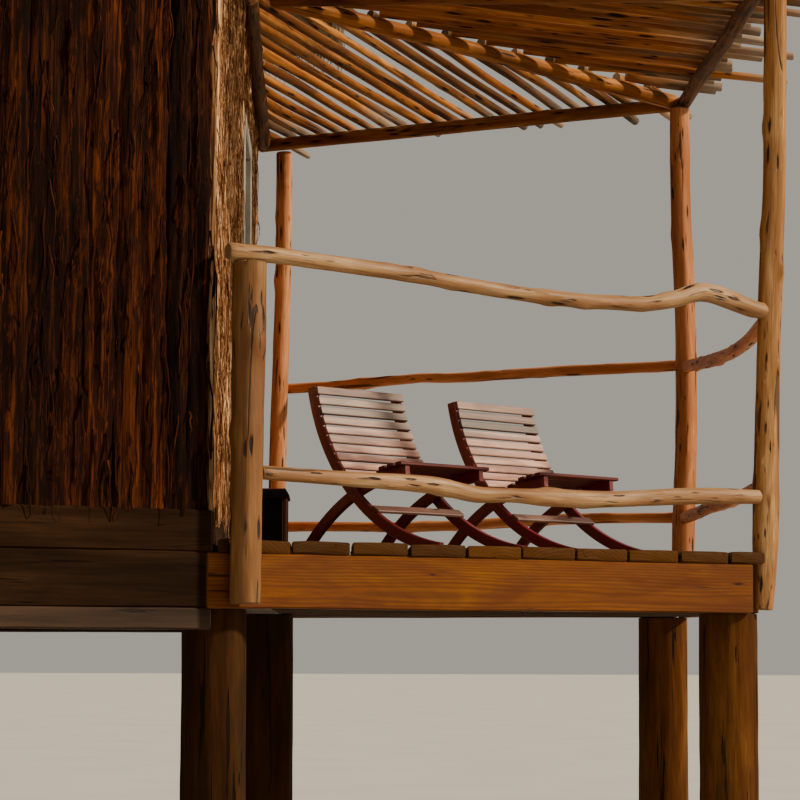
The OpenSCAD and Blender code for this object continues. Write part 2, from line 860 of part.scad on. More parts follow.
// The back rails pass outside both posts.
module back_rails() {
    color(wood_tan)
        on_side(back_end_corner, 150)
            for (
                rail = [
                    // Height at both ends, and the bends between: along, height
                    [
                        back_top + 14, back_top + 4,
                        [
                            [880, back_top + 18], [1320, back_top + 14], [1450, back_top + 22],
                            [1720, back_top + 15]
                        ]
                    ],
                    [low + 8, low + 6, [[560, low + 14], [1440, low - 8]]]
                ]
            ) {
                r = rail_r - 2;
                n = corner_out(back_post_bends, rail[0]) + bend_at(back_post_bends, rail[0], 3) + r + seat;
                wall_n = wall_post_out + bend_at(wall_post_bends, rail[1], 1) / 2
                    + bend_at(wall_post_bends, rail[1], 3) + r + seat;
                bent_log(
                    [
                        [-corner_set / 2 - 10, -n, rail[0], r], [20, -n, rail[0], r],
                        for (b = rail[2]) [b[0], -n - (wall_n - n) * b[0] / side, b[1], r],
                        [side - 100, -wall_n, rail[1], r],
                        [side + wall_post_out * tan30 + 60, -wall_n, rail[1], r]
                    ],
                    20
                );
            }
}

// Veranda roof

// The front and back plate logs run up to the door wall, and all are mitred at the outer corners.
module veranda_plate_logs() {
    to_wall = (wall_set - plate_r / 2) / cos30 - seat;
    block = 2 * plate_r;
    color(wood_dark)
        for (i = [0 : 2]) {
            t0 = i == 0 ? -to_wall : -block;
            t1 = side + (i == 2 ? to_wall : block);
            on_side(veranda_from[i], veranda_turn[i])
                intersection() {
                    translate([t0, 0, plate_z])
                        rotate([0, 90, 0])
                            cylinder(h = t1 - t0, r = plate_r);
                    side_bar(
                        i == 0 ? -side : joint_gap, i == 2 ? 2 * side : side - joint_gap,
                        -block, 2 * block, plate_z - block, plate_z + block, i == 0 ? 0 : 1,
                        i == 2 ? 0 : 1
                    );
                }
        }
}

// Height of the underside of the roof poles above a point that is n inside the plate log's middle
function pole_under(n) = plate_z + (plate_r + seat) / cos(pole_pitch) + n * tan(pole_pitch);
ledger_x = -wall_set + hip_r + seat;

module veranda_hip_logs() {
    drop = hip_r / cos(pole_pitch) + seat;
    clear = plate_r + seat;
    x_in = ledger_x + hip_r + seat;
    x_out = half_w - clear;
    low_z = pole_under(0) - drop;
    top_z = pole_under(half_w) - drop;
    ledger_y = side - ledger_x * tan30;
    ledger_top = pole_under(ledger_y * cos30) - drop;
    past = 90;
    color(wood_orange)
        for (k = [0, 1])
            mirror([0, k, 0]) {
                // Hip log from the outer corner up to the door wall
                intersection() {
                    sloping_log(back_end_corner, [0, 0], low_z, top_z, hip_r, [0, past]);
                    translate([0, 0, low_z - 500])
                        linear_extrude(1500)
                            polygon([
                                [x_in, joint_gap / 2], [x_out, joint_gap / 2],
                                [x_out, veranda_y(x_out) - clear / cos30],
                                [x_in, veranda_y(x_in) - clear / cos30]
                            ]);
                }
                // Ledger log against the door wall
                intersection() {
                    sloping_log(
                        [ledger_x, ledger_y], [ledger_x, 0], low_z, ledger_top, hip_r, [0, past]
                    );
                    translate([-wall_set, joint_gap / 2, low_z - 500])
                        linear_extrude(1500)
                            polygon([
                                [0, 0], [3 * hip_r, 0],
                                [3 * hip_r, veranda_y(3 * hip_r - wall_set) - clear / cos30],
                                [0, veranda_y(-wall_set) - clear / cos30]
                            ]);
                }
            }
}

// One facet of round poles. The hips bound it at 60 degrees to the side, the door wall at its
// first end where wall_0 is true and at its last end where wall_1 is true.
module pole_facet(i, wall_0, wall_1, seed) {
    extra = floor(wall_set / cos30 / pole_step);
    count = floor((side - 40) / pole_step);
    first = (side - count * pole_step) / 2;
    from = wall_0 ? -extra : 0;
    to = count + (wall_1 ? extra : 0);
    total = to - from + 1;
    radii = rands(pole_r_min, pole_r_max, total, seed);
    reach = rands(0, 1, total, seed + 1);
    jitter = rands(-6, 6, total, seed + 2);
    skews = rands(-0.3, 0.3, total, seed + 3);
    color(wood_orange)
        on_side(veranda_from[i], veranda_turn[i])
            for (j = [from : to]) {
                k = j - from;
                r = radii[k];
                t = first + j * pole_step + jitter[k];
                margin = r + 12;
                to_wall_0 = 2 * (t * cos30 + wall_set - margin - 10);
                to_wall_1 = 2 * ((side - t) * cos30 + wall_set - margin - 10);
                depth = min(
                    wall_0 ? to_wall_0 : (t - margin) / tan30,
                    wall_1 ? to_wall_1 : (side - t - margin) / tan30
                );
                out = pole_out_min + (pole_out_max - pole_out_min) * pow(reach[k], 3);
                if (depth > plate_r)
                    roof_pole(t, r, out, depth, plate_z, plate_r, pole_pitch, skews[k]);
            }
}

module front_roof_poles() {
    pole_facet(0, true, false, 11);
}

module end_roof_poles() {
    pole_facet(1, false, false, 23);
}

module back_roof_poles() {
    pole_facet(2, false, true, 37);
}

// Furniture

// A folding chair: X is the way it faces, Y runs across it from its near side, Z is up.
// The first chair's near back corner, and how far the second one stands back from its line
first_chair = [half_w - 1795, 83 - side / 2];
chair_back_off = 48;
chair_foot = 700;
seat_front = [500, 305];
seat_foot = [-60, 0];
slat_step = slat_w + 8;
slat_reach = 8;
// How deep a slat is let into the members
slat_sink = 3;
// Play between the two frames, side to side
frame_gap = 1;
// Place of the back frame's stretcher along its arc
stretcher_at = 640;
// Degrees for each millimetre along an arc
deg = 180 / (PI * chair_arc_r);
// Middle of the circle of radius r through p and q, on the side given by k
function arc_middle(p, q, r, k) =
    let (m = (p + q) / 2, d = q - p, c = norm(d))
        m + k * [-d[1], d[0]] / c * sqrt(r * r - c * c / 4);
back_middle = arc_middle([0, chair_h], [chair_foot, 0], chair_arc_r, 1);
seat_middle = arc_middle(seat_foot, seat_front, chair_arc_r, -1);

module arc_member(middle, x0, x1, z0, z1) {
    rotate([90, 0, 0])
        translate([0, 0, -member_t])
            intersection() {
                translate([middle[0], middle[1], 0])
                    difference() {
                        cylinder(h = member_t, r = chair_arc_r + member_w / 2, $fn = 180);
                        translate([0, 0, -1])
                            cylinder(h = member_t + 2, r = chair_arc_r - member_w / 2, $fn = 180);
                    }
                translate([x0, z0, -2])
                    cube([x1 - x0, z1 - z0, member_t + 4]);
            }
}

// A slat across the chair, on the inner or outer edge of an arc at the given angle
module arc_slat(middle, angle, offset, y0, y1, w = slat_w) {
    translate([middle[0], 0, middle[1]])
        rotate([0, -angle, 0])
            translate([offset - slat_t / 2, y0, -w / 2])
                cube([slat_t, y1 - y0, w]);
}

module chair_place(i) {
    translate([first_chair[0], first_chair[1], deck_h])
        rotate(-45)
            translate([-i * chair_back_off, i * chair_step, 0])
                children();
}

module chair_back_frame() {
    first = atan2(chair_h - back_middle[1], -back_middle[0]);
    inner = chair_arc_r - member_w / 2 - slat_t / 2 + slat_sink;
    color(burgundy)
        union() {
            for (y = [0, chair_w - member_t])
                translate([0, y, 0])
                    arc_member(back_middle, -member_w, chair_foot + 12, 0, chair_h);
            for (j = [0 : 9])
                arc_slat(back_middle, first + (slat_w / 2 + 2 + j * slat_step) * deg, inner, 0, chair_w);
            // Stretcher below the crossing
            arc_slat(back_middle, first + stretcher_at * deg, inner, 0, chair_w, slat_step);
        }
}

module chair_seat_frame() {
    y0 = member_t + frame_gap;
    y1 = chair_w - member_t - frame_gap;
    last = atan2(seat_front[1] - seat_middle[1], seat_front[0] - seat_middle[0]);
    outer = chair_arc_r + member_w / 2 + slat_t / 2 - slat_sink;
    color(burgundy)
        union() {
            for (y = [y0, y1 - member_t])
                translate([0, y, 0])
                    arc_member(seat_middle, seat_foot[0] - member_w, seat_front[0], 0, 600);
            // The front slats reach out over the back frame, the rear ones stay between its sides
            for (j = [0 : 5])
                let (end = j < 3 ? -slat_reach : y0 + member_t / 3)
                    arc_slat(
                        seat_middle, last + (slat_w / 2 - slat_reach + j * slat_step) * deg, outer,
                        end, chair_w - end
                    );
        }
}

module left_chair_back_frame() {
    chair_place(0)
        chair_back_frame();
}

module left_chair_seat_frame() {
    chair_place(0)
        chair_seat_frame();
}

module right_chair_back_frame() {
    chair_place(1)
        chair_back_frame();
}

module right_chair_seat_frame() {
    chair_place(1)
        chair_seat_frame();
}

// The box stands against the door wall.
lid_lap = 8;
// How far the box stands from the door frame
box_clear = 240;
box_from = [-wall_set + lid_lap + seat, door_shift - door_w / 2 - frame_w - box_clear - box_l];

module lidded_box() {
    color([0.08, 0.06, 0.06])
        translate([box_from[0], box_from[1], deck_h])
            difference() {
                cube([box_w, box_l, box_h]);
                translate([box_t, box_t, box_t])
                    cube([box_w - 2 * box_t, box_l - 2 * box_t, box_h]);
            }
}

module box_lid() {
    rise = 40;
    slope = 14;
    w = box_w + 2 * lid_lap;
    l = box_l + 2 * lid_lap;
    color([0.1, 0.08, 0.07])
        translate([box_from[0] - lid_lap, box_from[1] - lid_lap, deck_h + box_h])
            hull() {
                cube([w, l, rise / 3]);
                translate([slope, slope, rise - 1])
                    cube([w - 2 * slope, l - 2 * slope, 1]);
            }
}

veranda_stilts();
cabin_stilts();
front_fascia_beam();
end_fascia_beam();
back_fascia_beam();
floor_beams();
veranda_joists();
cabin_joists();
deck_boards();
cabin_bearers();
cabin_rim_beams();
cabin_floor();
wall_sills();
front_wall();
front_left_wall();
left_wall();
back_left_wall();
back_wall();
door_wall_front_part();
door_wall_back_part();
door_wall_head();
door_frame();
wall_plate_logs();
ridge_and_hip_poles();
rafters();
cabin_thatch();
ridge_cap();
front_rail_post();
front_corner_post();
back_corner_post();
back_wall_post();
front_rails();
end_rails();
back_rails();
veranda_plate_logs();
veranda_hip_logs();
front_roof_poles();
end_roof_poles();
back_roof_poles();
left_chair_back_frame();
left_chair_seat_frame();
right_chair_back_frame();
right_chair_seat_frame();
lidded_box();
box_lid();
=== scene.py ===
# Looks of a tree house: a bark-clad cabin on log stilts with a thatched roof and a log veranda.
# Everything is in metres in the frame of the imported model: +X to the veranda's end, -Y to the
# front, +Z up. Sizes and places are read from the model's own nodes wherever they can be.
from math import atan2, cos, pi, radians, sin, sqrt, tan
import bpy
import numpy as np
from mathutils import Matrix, Vector


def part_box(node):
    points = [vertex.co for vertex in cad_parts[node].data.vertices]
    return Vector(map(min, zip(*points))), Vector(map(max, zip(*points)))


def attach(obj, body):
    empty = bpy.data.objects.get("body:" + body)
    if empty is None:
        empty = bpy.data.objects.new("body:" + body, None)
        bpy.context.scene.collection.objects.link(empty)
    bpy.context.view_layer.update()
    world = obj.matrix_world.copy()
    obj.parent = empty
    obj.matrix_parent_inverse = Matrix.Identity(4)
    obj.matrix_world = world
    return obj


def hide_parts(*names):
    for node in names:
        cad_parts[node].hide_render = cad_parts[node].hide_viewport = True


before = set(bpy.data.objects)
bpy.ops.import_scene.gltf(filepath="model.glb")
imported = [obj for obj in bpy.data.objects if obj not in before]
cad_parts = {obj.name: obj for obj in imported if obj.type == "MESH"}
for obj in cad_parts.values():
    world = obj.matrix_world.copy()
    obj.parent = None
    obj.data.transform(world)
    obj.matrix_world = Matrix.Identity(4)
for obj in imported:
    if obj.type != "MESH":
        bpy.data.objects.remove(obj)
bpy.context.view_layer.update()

COS30 = cos(radians(30))
TAN30 = tan(radians(30))

# Sizes of the house, read from the frame
DECK_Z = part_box("deck_boards")[1].z
HALF_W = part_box("end_fascia_beam")[1].x
SIDE = HALF_W / COS30
DOOR_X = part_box("door_wall_front_part")[1].x
CABIN_X = -HALF_W
CABIN_HALF = HALF_W + DOOR_X
SHORT_Y = 1.5 * SIDE
LONG_Y = SIDE - DOOR_X * TAN30

# Noise

def hashed(ix, iy, iz, seed):
    """A repeatable value from -1 to 1 for each whole-number point."""
    n = (ix * 374761393 + iy * 668265263 + iz * 1440662683 + seed * 1274126177) & 0xFFFFFFFF
    n = ((n ^ (n >> 13)) * 1274126177) & 0xFFFFFFFF
    return ((n ^ (n >> 16)) & 0xFFFFFF) / float(0xFFFFFF) * 2 - 1


def noise(x, y, z, seed=0):
    """Smooth value noise from -1 to 1 at arrays of points."""
    place = np.broadcast_arrays(x, y, z)
    cell = [np.floor(a).astype(np.int64) for a in place]
    part = [a - c for a, c in zip(place, cell)]
    fx, fy, fz = (p * p * (3 - 2 * p) for p in part)
    total = 0
    for dx, dy, dz in np.ndindex(2, 2, 2):
        weight = (fx if dx else 1 - fx) * (fy if dy else 1 - fy) * (fz if dz else 1 - fz)
        total = total + weight * hashed(cell[0] + dx, cell[1] + dy, cell[2] + dz, seed)
    return total


# Meshes

def add(name, data):
    """A new object in the scene."""
    thing = bpy.data.objects.new(name, data)
    bpy.context.scene.collection.objects.link(thing)
    return thing


class Heap:
    """Gathers many closed solids into one mesh.

    Each point carries its place in its own piece of wood (grain), a tone that is random for most pieces and
    set low where it paints shade, and how weathered it is (worn). Each face says whether it is a cut end."""

    def __init__(self):
        self.points, self.grain, self.tone, self.worn = [], [], [], []
        self.quads, self.tris, self.cut = [], [], []
        self.count = 0

    def sweep(self, points, grain, tone=0.5, worn=0.0):
        """Adds solids: points is (solids, sections, points round each section, 3)."""
        m, n, k, _ = points.shape
        ring = np.arange(k)
        after = (ring + 1) % k
        row = np.arange(n - 1)[:, None] * k
        quads = np.stack([row + ring, row + after, row + k + after, row + k + ring], -1)
        quads = quads.reshape(-1, 4)
        first, last = n * k, n * k + 1
        tris = np.concatenate([
            np.stack([np.full(k, first), after, ring], -1),
            np.stack([np.full(k, last), (n - 1) * k + ring, (n - 1) * k + after], -1),
        ])

        def with_centres(values):
            flat = values.reshape(m, n * k, -1)
            ends = np.stack([values[:, 0].mean(1), values[:, -1].mean(1)], 1)
            return np.concatenate([flat, ends.reshape(m, 2, -1)], 1)

        verts = with_centres(points)
        corners = np.concatenate([quads[:, [0, 1, 2]], quads[:, [0, 2, 3]], tris])
        a, b, c = (verts[:, corners[:, j]] for j in range(3))
        volume = np.einsum("mfi,mfi->m", a, np.cross(b, c))
        size = n * k + 2
        base = self.count + np.arange(m)[:, None, None] * size
        flip = (volume < 0)[:, None, None]
        self.quads.append((base + np.where(flip, quads[None, :, ::-1], quads[None])).reshape(-1, 4))
        self.tris.append((base + np.where(flip, tris[None, :, ::-1], tris[None])).reshape(-1, 3))
        # The bevels beside the ends look like the cut ends
        cut = np.zeros((m, n - 1, k))
        if n > 4:
            cut[:, [0, -1]] = 1
        self.cut.append(cut.ravel())
        self.points.append(verts.reshape(-1, 3))
        self.grain.append(with_centres(grain).reshape(-1, 3))
        tone = np.broadcast_to(np.asarray(tone, float).reshape(-1, 1), (m, 1))
        self.tone.append(np.repeat(tone, size, 1).ravel())
        worn = np.broadcast_to(np.asarray(worn, float), (m, n, k))
        self.worn.append(with_centres(worn[..., None]).ravel())
        self.count += m * size

    def piece(self, name, material, slot, replaced=(), sharp=38):
        """Makes the object, which rides on the house and stands for the named nodes."""
        quads, tris = np.concatenate(self.quads), np.concatenate(self.tris)
        mesh = bpy.data.meshes.new(name)
        mesh.from_pydata(np.concatenate(self.points).tolist(), [], quads.tolist() + tris.tolist())
        self.cut.append(np.ones(len(tris)))
        for label in ("grain", "tone", "worn", "cut"):
            values = np.concatenate(getattr(self, label)).astype(np.float32)
            kind, key = ("FLOAT", "value") if values.ndim == 1 else ("FLOAT_VECTOR", "vector")
            attribute = mesh.attributes.new(label, kind, "FACE" if label == "cut" else "POINT")
            attribute.data.foreach_set(key, values.ravel())
        mesh.polygons.foreach_set("use_smooth", np.ones(len(mesh.polygons), bool))
        mesh.set_sharp_from_angle(angle=radians(sharp))
        mesh.materials.append(material)
        thing = add(name, mesh)
        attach(thing, "root")
        if replaced:
            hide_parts(*replaced)


def placed(place, points):
    """Local points moved by a matrix, as an array of the same shape."""
    m = np.array(place)
    return points @ m[:3, :3].T + m[:3, 3]


def circle(count):
    """Angles of points spread evenly round a circle."""
    return np.arange(count) * 2 * pi / count


def turned(degrees):
    """A turn about the upright axis."""
    return Matrix.Rotation(radians(degrees), 4, "Z")


def on_side(corner, turn):
    """The frame of one side: X along it, Y inwards, Z up."""
    return Matrix.Translation((*corner, 0)) @ turned(turn)


# Local X goes up, local Y runs along the side and local Z points inwards
UPRIGHT = Matrix(((0, 1, 0, 0), (0, 0, 1, 0), (1, 0, 0, 0), (0, 0, 0, 1)))


def solids(node):
    """The points of each separate solid of a CAD node, as a list of arrays."""
    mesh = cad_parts[node].data
    co = np.empty(len(mesh.vertices) * 3)
    mesh.vertices.foreach_get("co", co)
    spots, which = np.unique(np.round(co.reshape(-1, 3), 5), axis=0, return_inverse=True)
    which = which.ravel()
    edges = np.empty(len(mesh.edges) * 2, np.int64)
    mesh.edges.foreach_get("vertices", edges)
    parent = list(range(len(spots)))

    def root(i):
        while parent[i] != i:
            parent[i] = parent[parent[i]]
            i = parent[i]
        return i

    for a, b in which[edges].reshape(-1, 2).tolist():
        parent[root(a)] = root(b)
    roots = np.array([root(i) for i in range(len(spots))])
    return [spots[roots == r] for r in np.unique(roots)]


# The points of one ring of a log lie closer together than this along its axis
RING_GAP = 0.016


def spine(points):
    """Middle line and radii of a log's solid: the middles of the rings that its points form."""
    centre = points.mean(0)
    axis = np.linalg.svd(points - centre, full_matrices=False)[2][0]
    axis = axis * (1 if axis[np.argmax(abs(axis))] > 0 else -1)
    along = (points - centre) @ axis
    order = np.argsort(along)
    breaks = np.where(np.diff(along[order]) > RING_GAP)[0] + 1
    rings = [points[group] for group in np.split(order, breaks) if len(group) > 4]
    line = np.array([(ring.min(0) + ring.max(0)) / 2 for ring in rings])
    radii = []
    for middle, ring in zip(line, rings):
        away = ring - middle
        radii.append(np.linalg.norm(away - np.outer(away @ axis, axis), axis=1).max())
    return line, np.array(radii) if len(line) > 2 else np.full(2, np.median(radii))


def rounded_path(line, step):
    """A smooth path through the points of line, with a point about every step."""
    line = np.asarray(line, float)
    if len(line) < 3:
        count = max(2, int(np.linalg.norm(line[-1] - line[0]) / step))
        return line[0] + (line[-1] - line[0]) * np.linspace(0, 1, count)[:, None]
    ghost = np.concatenate([[2 * line[0] - line[1]], line, [2 * line[-1] - line[-2]]])
    out = []
    for i in range(1, len(ghost) - 2):
        a, b, c, d = ghost[i - 1:i + 3]
        for u in np.arange(0, 1, min(1.0, step / max(1e-6, np.linalg.norm(c - b)))):
            out.append(0.5 * (2 * b + (c - a) * u + (2 * a - 5 * b + 4 * c - d) * u * u
                              + (3 * b - a - 3 * c + d) * u ** 3))
    return np.array(out + [line[-1]])


def lengths(line):
    """How far along a line each of its points lies."""
    return np.concatenate([[0], np.cumsum(np.linalg.norm(np.diff(line, axis=0), axis=1))])


def log(heap, line, radius, rng, sides=16, step=0.05, rough=0.04, sway=0.0, knots=0, chamfer=0.006,
        tone=None, worn_end=None, flat=0.0):
    """A round log along a line. radius is one value, or one for each point of the line.
    worn_end gives the length over which its far end is weathered, and flat how much is hewn
    off one side."""
    path = rounded_path(line, step)
    length = lengths(path)
    inside = (length > 2 * chamfer) & (length < length[-1] - 2 * chamfer)
    at = np.concatenate([[0, chamfer], length[inside], [length[-1] - chamfer, length[-1]]])
    path = np.stack([np.interp(at, length, path[:, i]) for i in range(3)], -1)
    seed = int(rng.integers(1 << 20))
    if sway:
        fade = np.sin(np.pi * at / at[-1]) * sway
        for i in range(3):
            path[:, i] += fade * noise(at * 1.1, i * 9.3, seed * 0.37, seed)
    tangent = np.gradient(path, axis=0)
    tangent /= np.linalg.norm(tangent, axis=1)[:, None]
    side = np.cross(tangent[0], (0, 0, 1) if abs(tangent[0][2]) < 0.8 else (1, 0, 0))
    normals = []
    for t in tangent:
        side = side - t * (side @ t)
        side = side / np.linalg.norm(side)
        normals.append(side)
    normal = np.array(normals)
    across = np.cross(tangent, normal)
    s, a = np.meshgrid(at, circle(sides), indexing="ij")
    radius = np.atleast_1d(radius)
    stations = np.linspace(0, 1, len(radius))
    if len(radius) == len(line):
        stations = lengths(line)
        stations /= stations[-1]
    size = np.interp(at / at[-1], stations, radius)[:, None]
    r = 1 + rough * noise(s * 2.3, np.cos(a) * 1.3, np.sin(a) * 1.3, seed)
    r += 0.5 * rough * noise(s * 9, np.cos(a) * 3, np.sin(a) * 3, seed + 1)

    def away_from(turn):
        return (a - turn + pi) % (2 * pi) - pi

    knot_margin, knot_long, knot_wide = 0.06, 0.04, 0.55
    for _ in range(knots):
        where = rng.uniform(knot_margin, at[-1] - knot_margin)
        gap = away_from(rng.uniform(0, 2 * pi))
        bulge = rng.uniform(0.1, 0.24)
        r += bulge * np.exp(-((s - where) / knot_long) ** 2 - (gap / knot_wide) ** 2)
    if flat:
        r = np.minimum(r, (1 - flat) / np.maximum(0.2, np.cos(away_from(rng.uniform(0, 2 * pi)))))
    r[[0, -1]] *= 0.88
    r = r * size
    local = np.stack([s, r * np.cos(a), r * np.sin(a)], -1)
    points = path[:, None] + normal[:, None] * local[..., 1:2] + across[:, None] * local[..., 2:3]
    grain = local + rng.uniform(0, 40) * np.array([1, 0, 0])
    worn = 0.0
    if worn_end:
        worn = np.clip(1 - (at[-1] - at) / worn_end, 0, 1)[:, None]
    heap.sweep(points[None], grain[None], rng.uniform() if tone is None else tone, worn)


def board(heap, place, lo, hi, rng, ends=None, bevel=0.004, wave=0.002, step=0.12, tone=None,
          round_over=0.0):
    """A board whose grain runs along local X, between two corners. Each entry of ends gives
    the X of an end as (value at Y = 0, change for each metre of Y)."""
    (x0, y0, z0), (x1, y1, z1) = lo, hi
    (c0, k0), (c1, k1) = ends or ((x0, 0), (x1, 0))
    width, thick = y1 - y0, z1 - z0
    b = min(bevel, 0.3 * width, 0.3 * thick)
    ys = np.array([b, 0.3 * width, 0.7 * width, width - b, width, width])
    ys = np.concatenate([ys, ys[[3, 2, 1, 0]], [0, 0]])
    zs = np.array([0, 0, 0, 0, b, thick - b, thick, thick, thick, thick, thick - b, b])
    crown = round_over * (1 - ((ys / width) * 2 - 1) ** 2) * (zs > thick / 2)
    count = max(3, int(abs(x1 - x0) / step))
    u = np.concatenate([[0], np.linspace(0, 1, count), [1]])
    u[1] = b / max(1e-4, abs(x1 - x0))
    u[-2] = 1 - u[1]
    seed = int(rng.integers(1 << 20))
    y = y0 + ys
    start, end = c0 + k0 * y, c1 + k1 * y
    x = start + (end - start) * u[:, None]
    mid_y, mid_z = y0 + width / 2, z0 + thick / 2
    # The end faces are smaller by the bevel
    scale_y, scale_z = np.ones((len(u), 1)), np.ones((len(u), 1))
    scale_y[[0, -1]] = 1 - 2 * b / width
    scale_z[[0, -1]] = 1 - 2 * b / thick
    yy = mid_y + (y - mid_y) * scale_y
    zz = mid_z + (z0 + zs + crown - mid_z) * scale_z
    yy = yy + wave * noise(x * 5, y[None] * 4, zs[None] * 4 + 7, seed)
    zz = zz + wave * noise(x * 4, y[None] * 9, zs[None] * 4 + 31, seed + 5)
    local = np.stack([x, yy, zz], -1)
    shift = rng.uniform(0, 30)
    heart_y = rng.uniform(-0.5, 0.5) * width + mid_y
    heart_z = mid_z - rng.uniform(0.5, 1.6) * width
    grain = local + np.array([shift, -heart_y, -heart_z])
    heap.sweep(placed(place, local)[None], grain[None], rng.uniform() if tone is None else tone)


def boards_from(heap, node, rng, **look):
    """Boards in the place of each straight, square-edged solid of a CAD node."""
    for points in solids(node):
        best = None
        for turn in range(0, 180, 30):
            place = turned(turn)
            local = placed(place.inverted(), points)
            lo, hi = local.min(0), local.max(0)
            area = (hi[0] - lo[0]) * (hi[1] - lo[1])
            if hi[0] - lo[0] >= hi[1] - lo[1] and (best is None or area < best[0] - 1e-5):
                best = (area, place, local, lo, hi)
        _, place, local, lo, hi = best
        near, far = (local[abs(local[:, 1] - y) < 0.002] for y in (lo[1], hi[1]))
        ends = []
        for pick in (np.min, np.max):
            a, b = pick(near[:, 0]), pick(far[:, 0])
            slope = (b - a) / (hi[1] - lo[1])
            ends.append((a - slope * lo[1], slope))
        board(heap, place, lo, hi, rng, ends=ends, **look)


def fibres(heap, place, middles, along, widths, taper, flat, tones, rng, stretch=1, aged=False):
    """Thin three-sided fibres that run along local axis 1 or 2. middles holds the x, y and z of
    their points, each as an array of fibres by points, and aged gives each its own wear."""
    count, points = middles[0].shape
    width = (rng.uniform(*widths, (count, 1)) * (1 - taper * np.linspace(0, 1, points)))[..., None]
    turn = circle(3)
    local = np.repeat(np.stack(middles, -1)[:, :, None], 3, 2)
    local[..., 0] += width * np.cos(turn)
    local[..., 3 - along] += flat * width * np.sin(turn)
    grain = local[..., [along, 0, 3 - along]] * (1, stretch, 1)
    tone = rng.uniform(*tones, count)
    worn = rng.uniform(0, 1, (count, 1, 1)) if aged else 0.0
    heap.sweep(placed(place, local), grain, tone, worn)


# Materials

class Paint:
    """Builds one node material. Each method adds nodes and gives an output, and takes numbers,
    colours or such outputs."""

    def __init__(self, name, specular=0.3):
        self.material = bpy.data.materials.new(name)
        self.material.use_nodes = True
        self.tree = self.material.node_tree
        self.shader = self.tree.nodes["Principled BSDF"]
        self.feed(self.shader, {"Specular IOR Level": specular})

    def feed(self, node, inputs):
        for key, value in inputs.items():
            if isinstance(value, bpy.types.NodeSocket):
                self.tree.links.new(value, node.inputs[key])
            else:
                node.inputs[key].default_value = value

    def add(self, kind, inputs, output=0, **settings):
        node = self.tree.nodes.new("ShaderNode" + kind)
        for key, value in settings.items():
            setattr(node, key, value)
        self.feed(node, inputs)
        return node.outputs[output]

    def attribute(self, name, output="Fac"):
        return self.add("Attribute", {}, output, attribute_name=name)

    def scaled(self, vector, along, across):
        return self.add("VectorMath", {0: vector, 1: (along, across, across)}, operation="MULTIPLY")

    def noise(self, vector, along, across, detail=4, rough=0.55, distort=0.0, output="Fac"):
        inputs = {"Vector": self.scaled(vector, along, across), "Scale": 1, "Detail": detail,
                  "Roughness": rough, "Distortion": distort}
        return self.add("TexNoise", inputs, output)

    def bent(self, vector, amount):
        """The vector shifted a little to and fro, which makes outlines ragged."""
        shift = self.noise(vector, 12, 60, 2, 0.5, output="Color")
        reach = (8 * amount, 2 * amount, 2 * amount)
        return self.add("VectorMath", {0: shift, 1: reach, 2: vector}, operation="MULTIPLY_ADD")

    def math(self, kind, *values):
        return self.add("Math", dict(enumerate(values)), operation=kind)

    def times(self, a, b):
        return self.math("MULTIPLY", a, b)

    def span(self, value, low, high, start=0.0, end=1.0):
        """The value with low to high mapped to start to end."""
        limits = {"From Min": low, "From Max": high, "To Min": start, "To Max": end}
        return self.add("MapRange", {"Value": value, **limits}, "Result")

    def ramp(self, value, *stops):
        result = self.add("ValToRGB", {0: value})
        elements = result.node.color_ramp.elements
        while len(elements) < len(stops):
            elements.new(0.5)
        for element, (position, colour) in zip(elements, stops):
            element.position = position
            element.color = (*colour, 1)
        return result

    def mix(self, factor, a, b, kind="MIX"):
        a, b = (c if isinstance(c, bpy.types.NodeSocket) else (*c, 1) for c in (a, b))
        return self.add("Mix", {0: factor, 6: a, 7: b}, 2, data_type="RGBA", blend_type=kind)

    def radial(self, vector):
        """Distance from the heart of the log or board."""
        y = self.add("SeparateXYZ", {0: vector}, 1)
        squares = [self.times(part, part) for part in (y, y.node.outputs[2])]
        return self.math("SQRT", self.math("ADD", *squares))

    def spots(self, vector, along, across, size, share):
        """Spots of mixed sizes in a share of the cells of a pattern: 1 in the middle of a spot,
        0 at its edge and outside."""
        cells = {"Vector": self.scaled(vector, along, across), "Scale": 1}
        distance = self.add("TexVoronoi", cells, "Distance")
        chance = self.add("SeparateColor", {0: distance.node.outputs["Color"]})
        reach = self.span(chance.node.outputs[1], 0, 1, 0.35 * size, size)
        near = self.span(self.math("DIVIDE", distance, reach), 0, 1, 1, 0)
        return self.times(self.math("LESS_THAN", chance, share), near)

    def toned(self, colour, low, high):
        """The colour made darker or lighter by each piece's own tone."""
        tone = self.span(self.attribute("tone"), 0, 1, low, high)
        shade = self.add("CombineColor", {0: tone, 1: tone, 2: tone})
        return self.mix(1.0, colour, shade, "MULTIPLY")

    def finish(self, colour, roughness, height, depth):
        bump = self.add("Bump", {"Strength": 1.0, "Distance": depth, "Height": height})
        self.feed(self.shader, {"Base Color": colour, "Roughness": roughness, "Normal": bump})
        return self.material


def dimmed(colour, share=0.5):
    return tuple(share * part for part in colour)


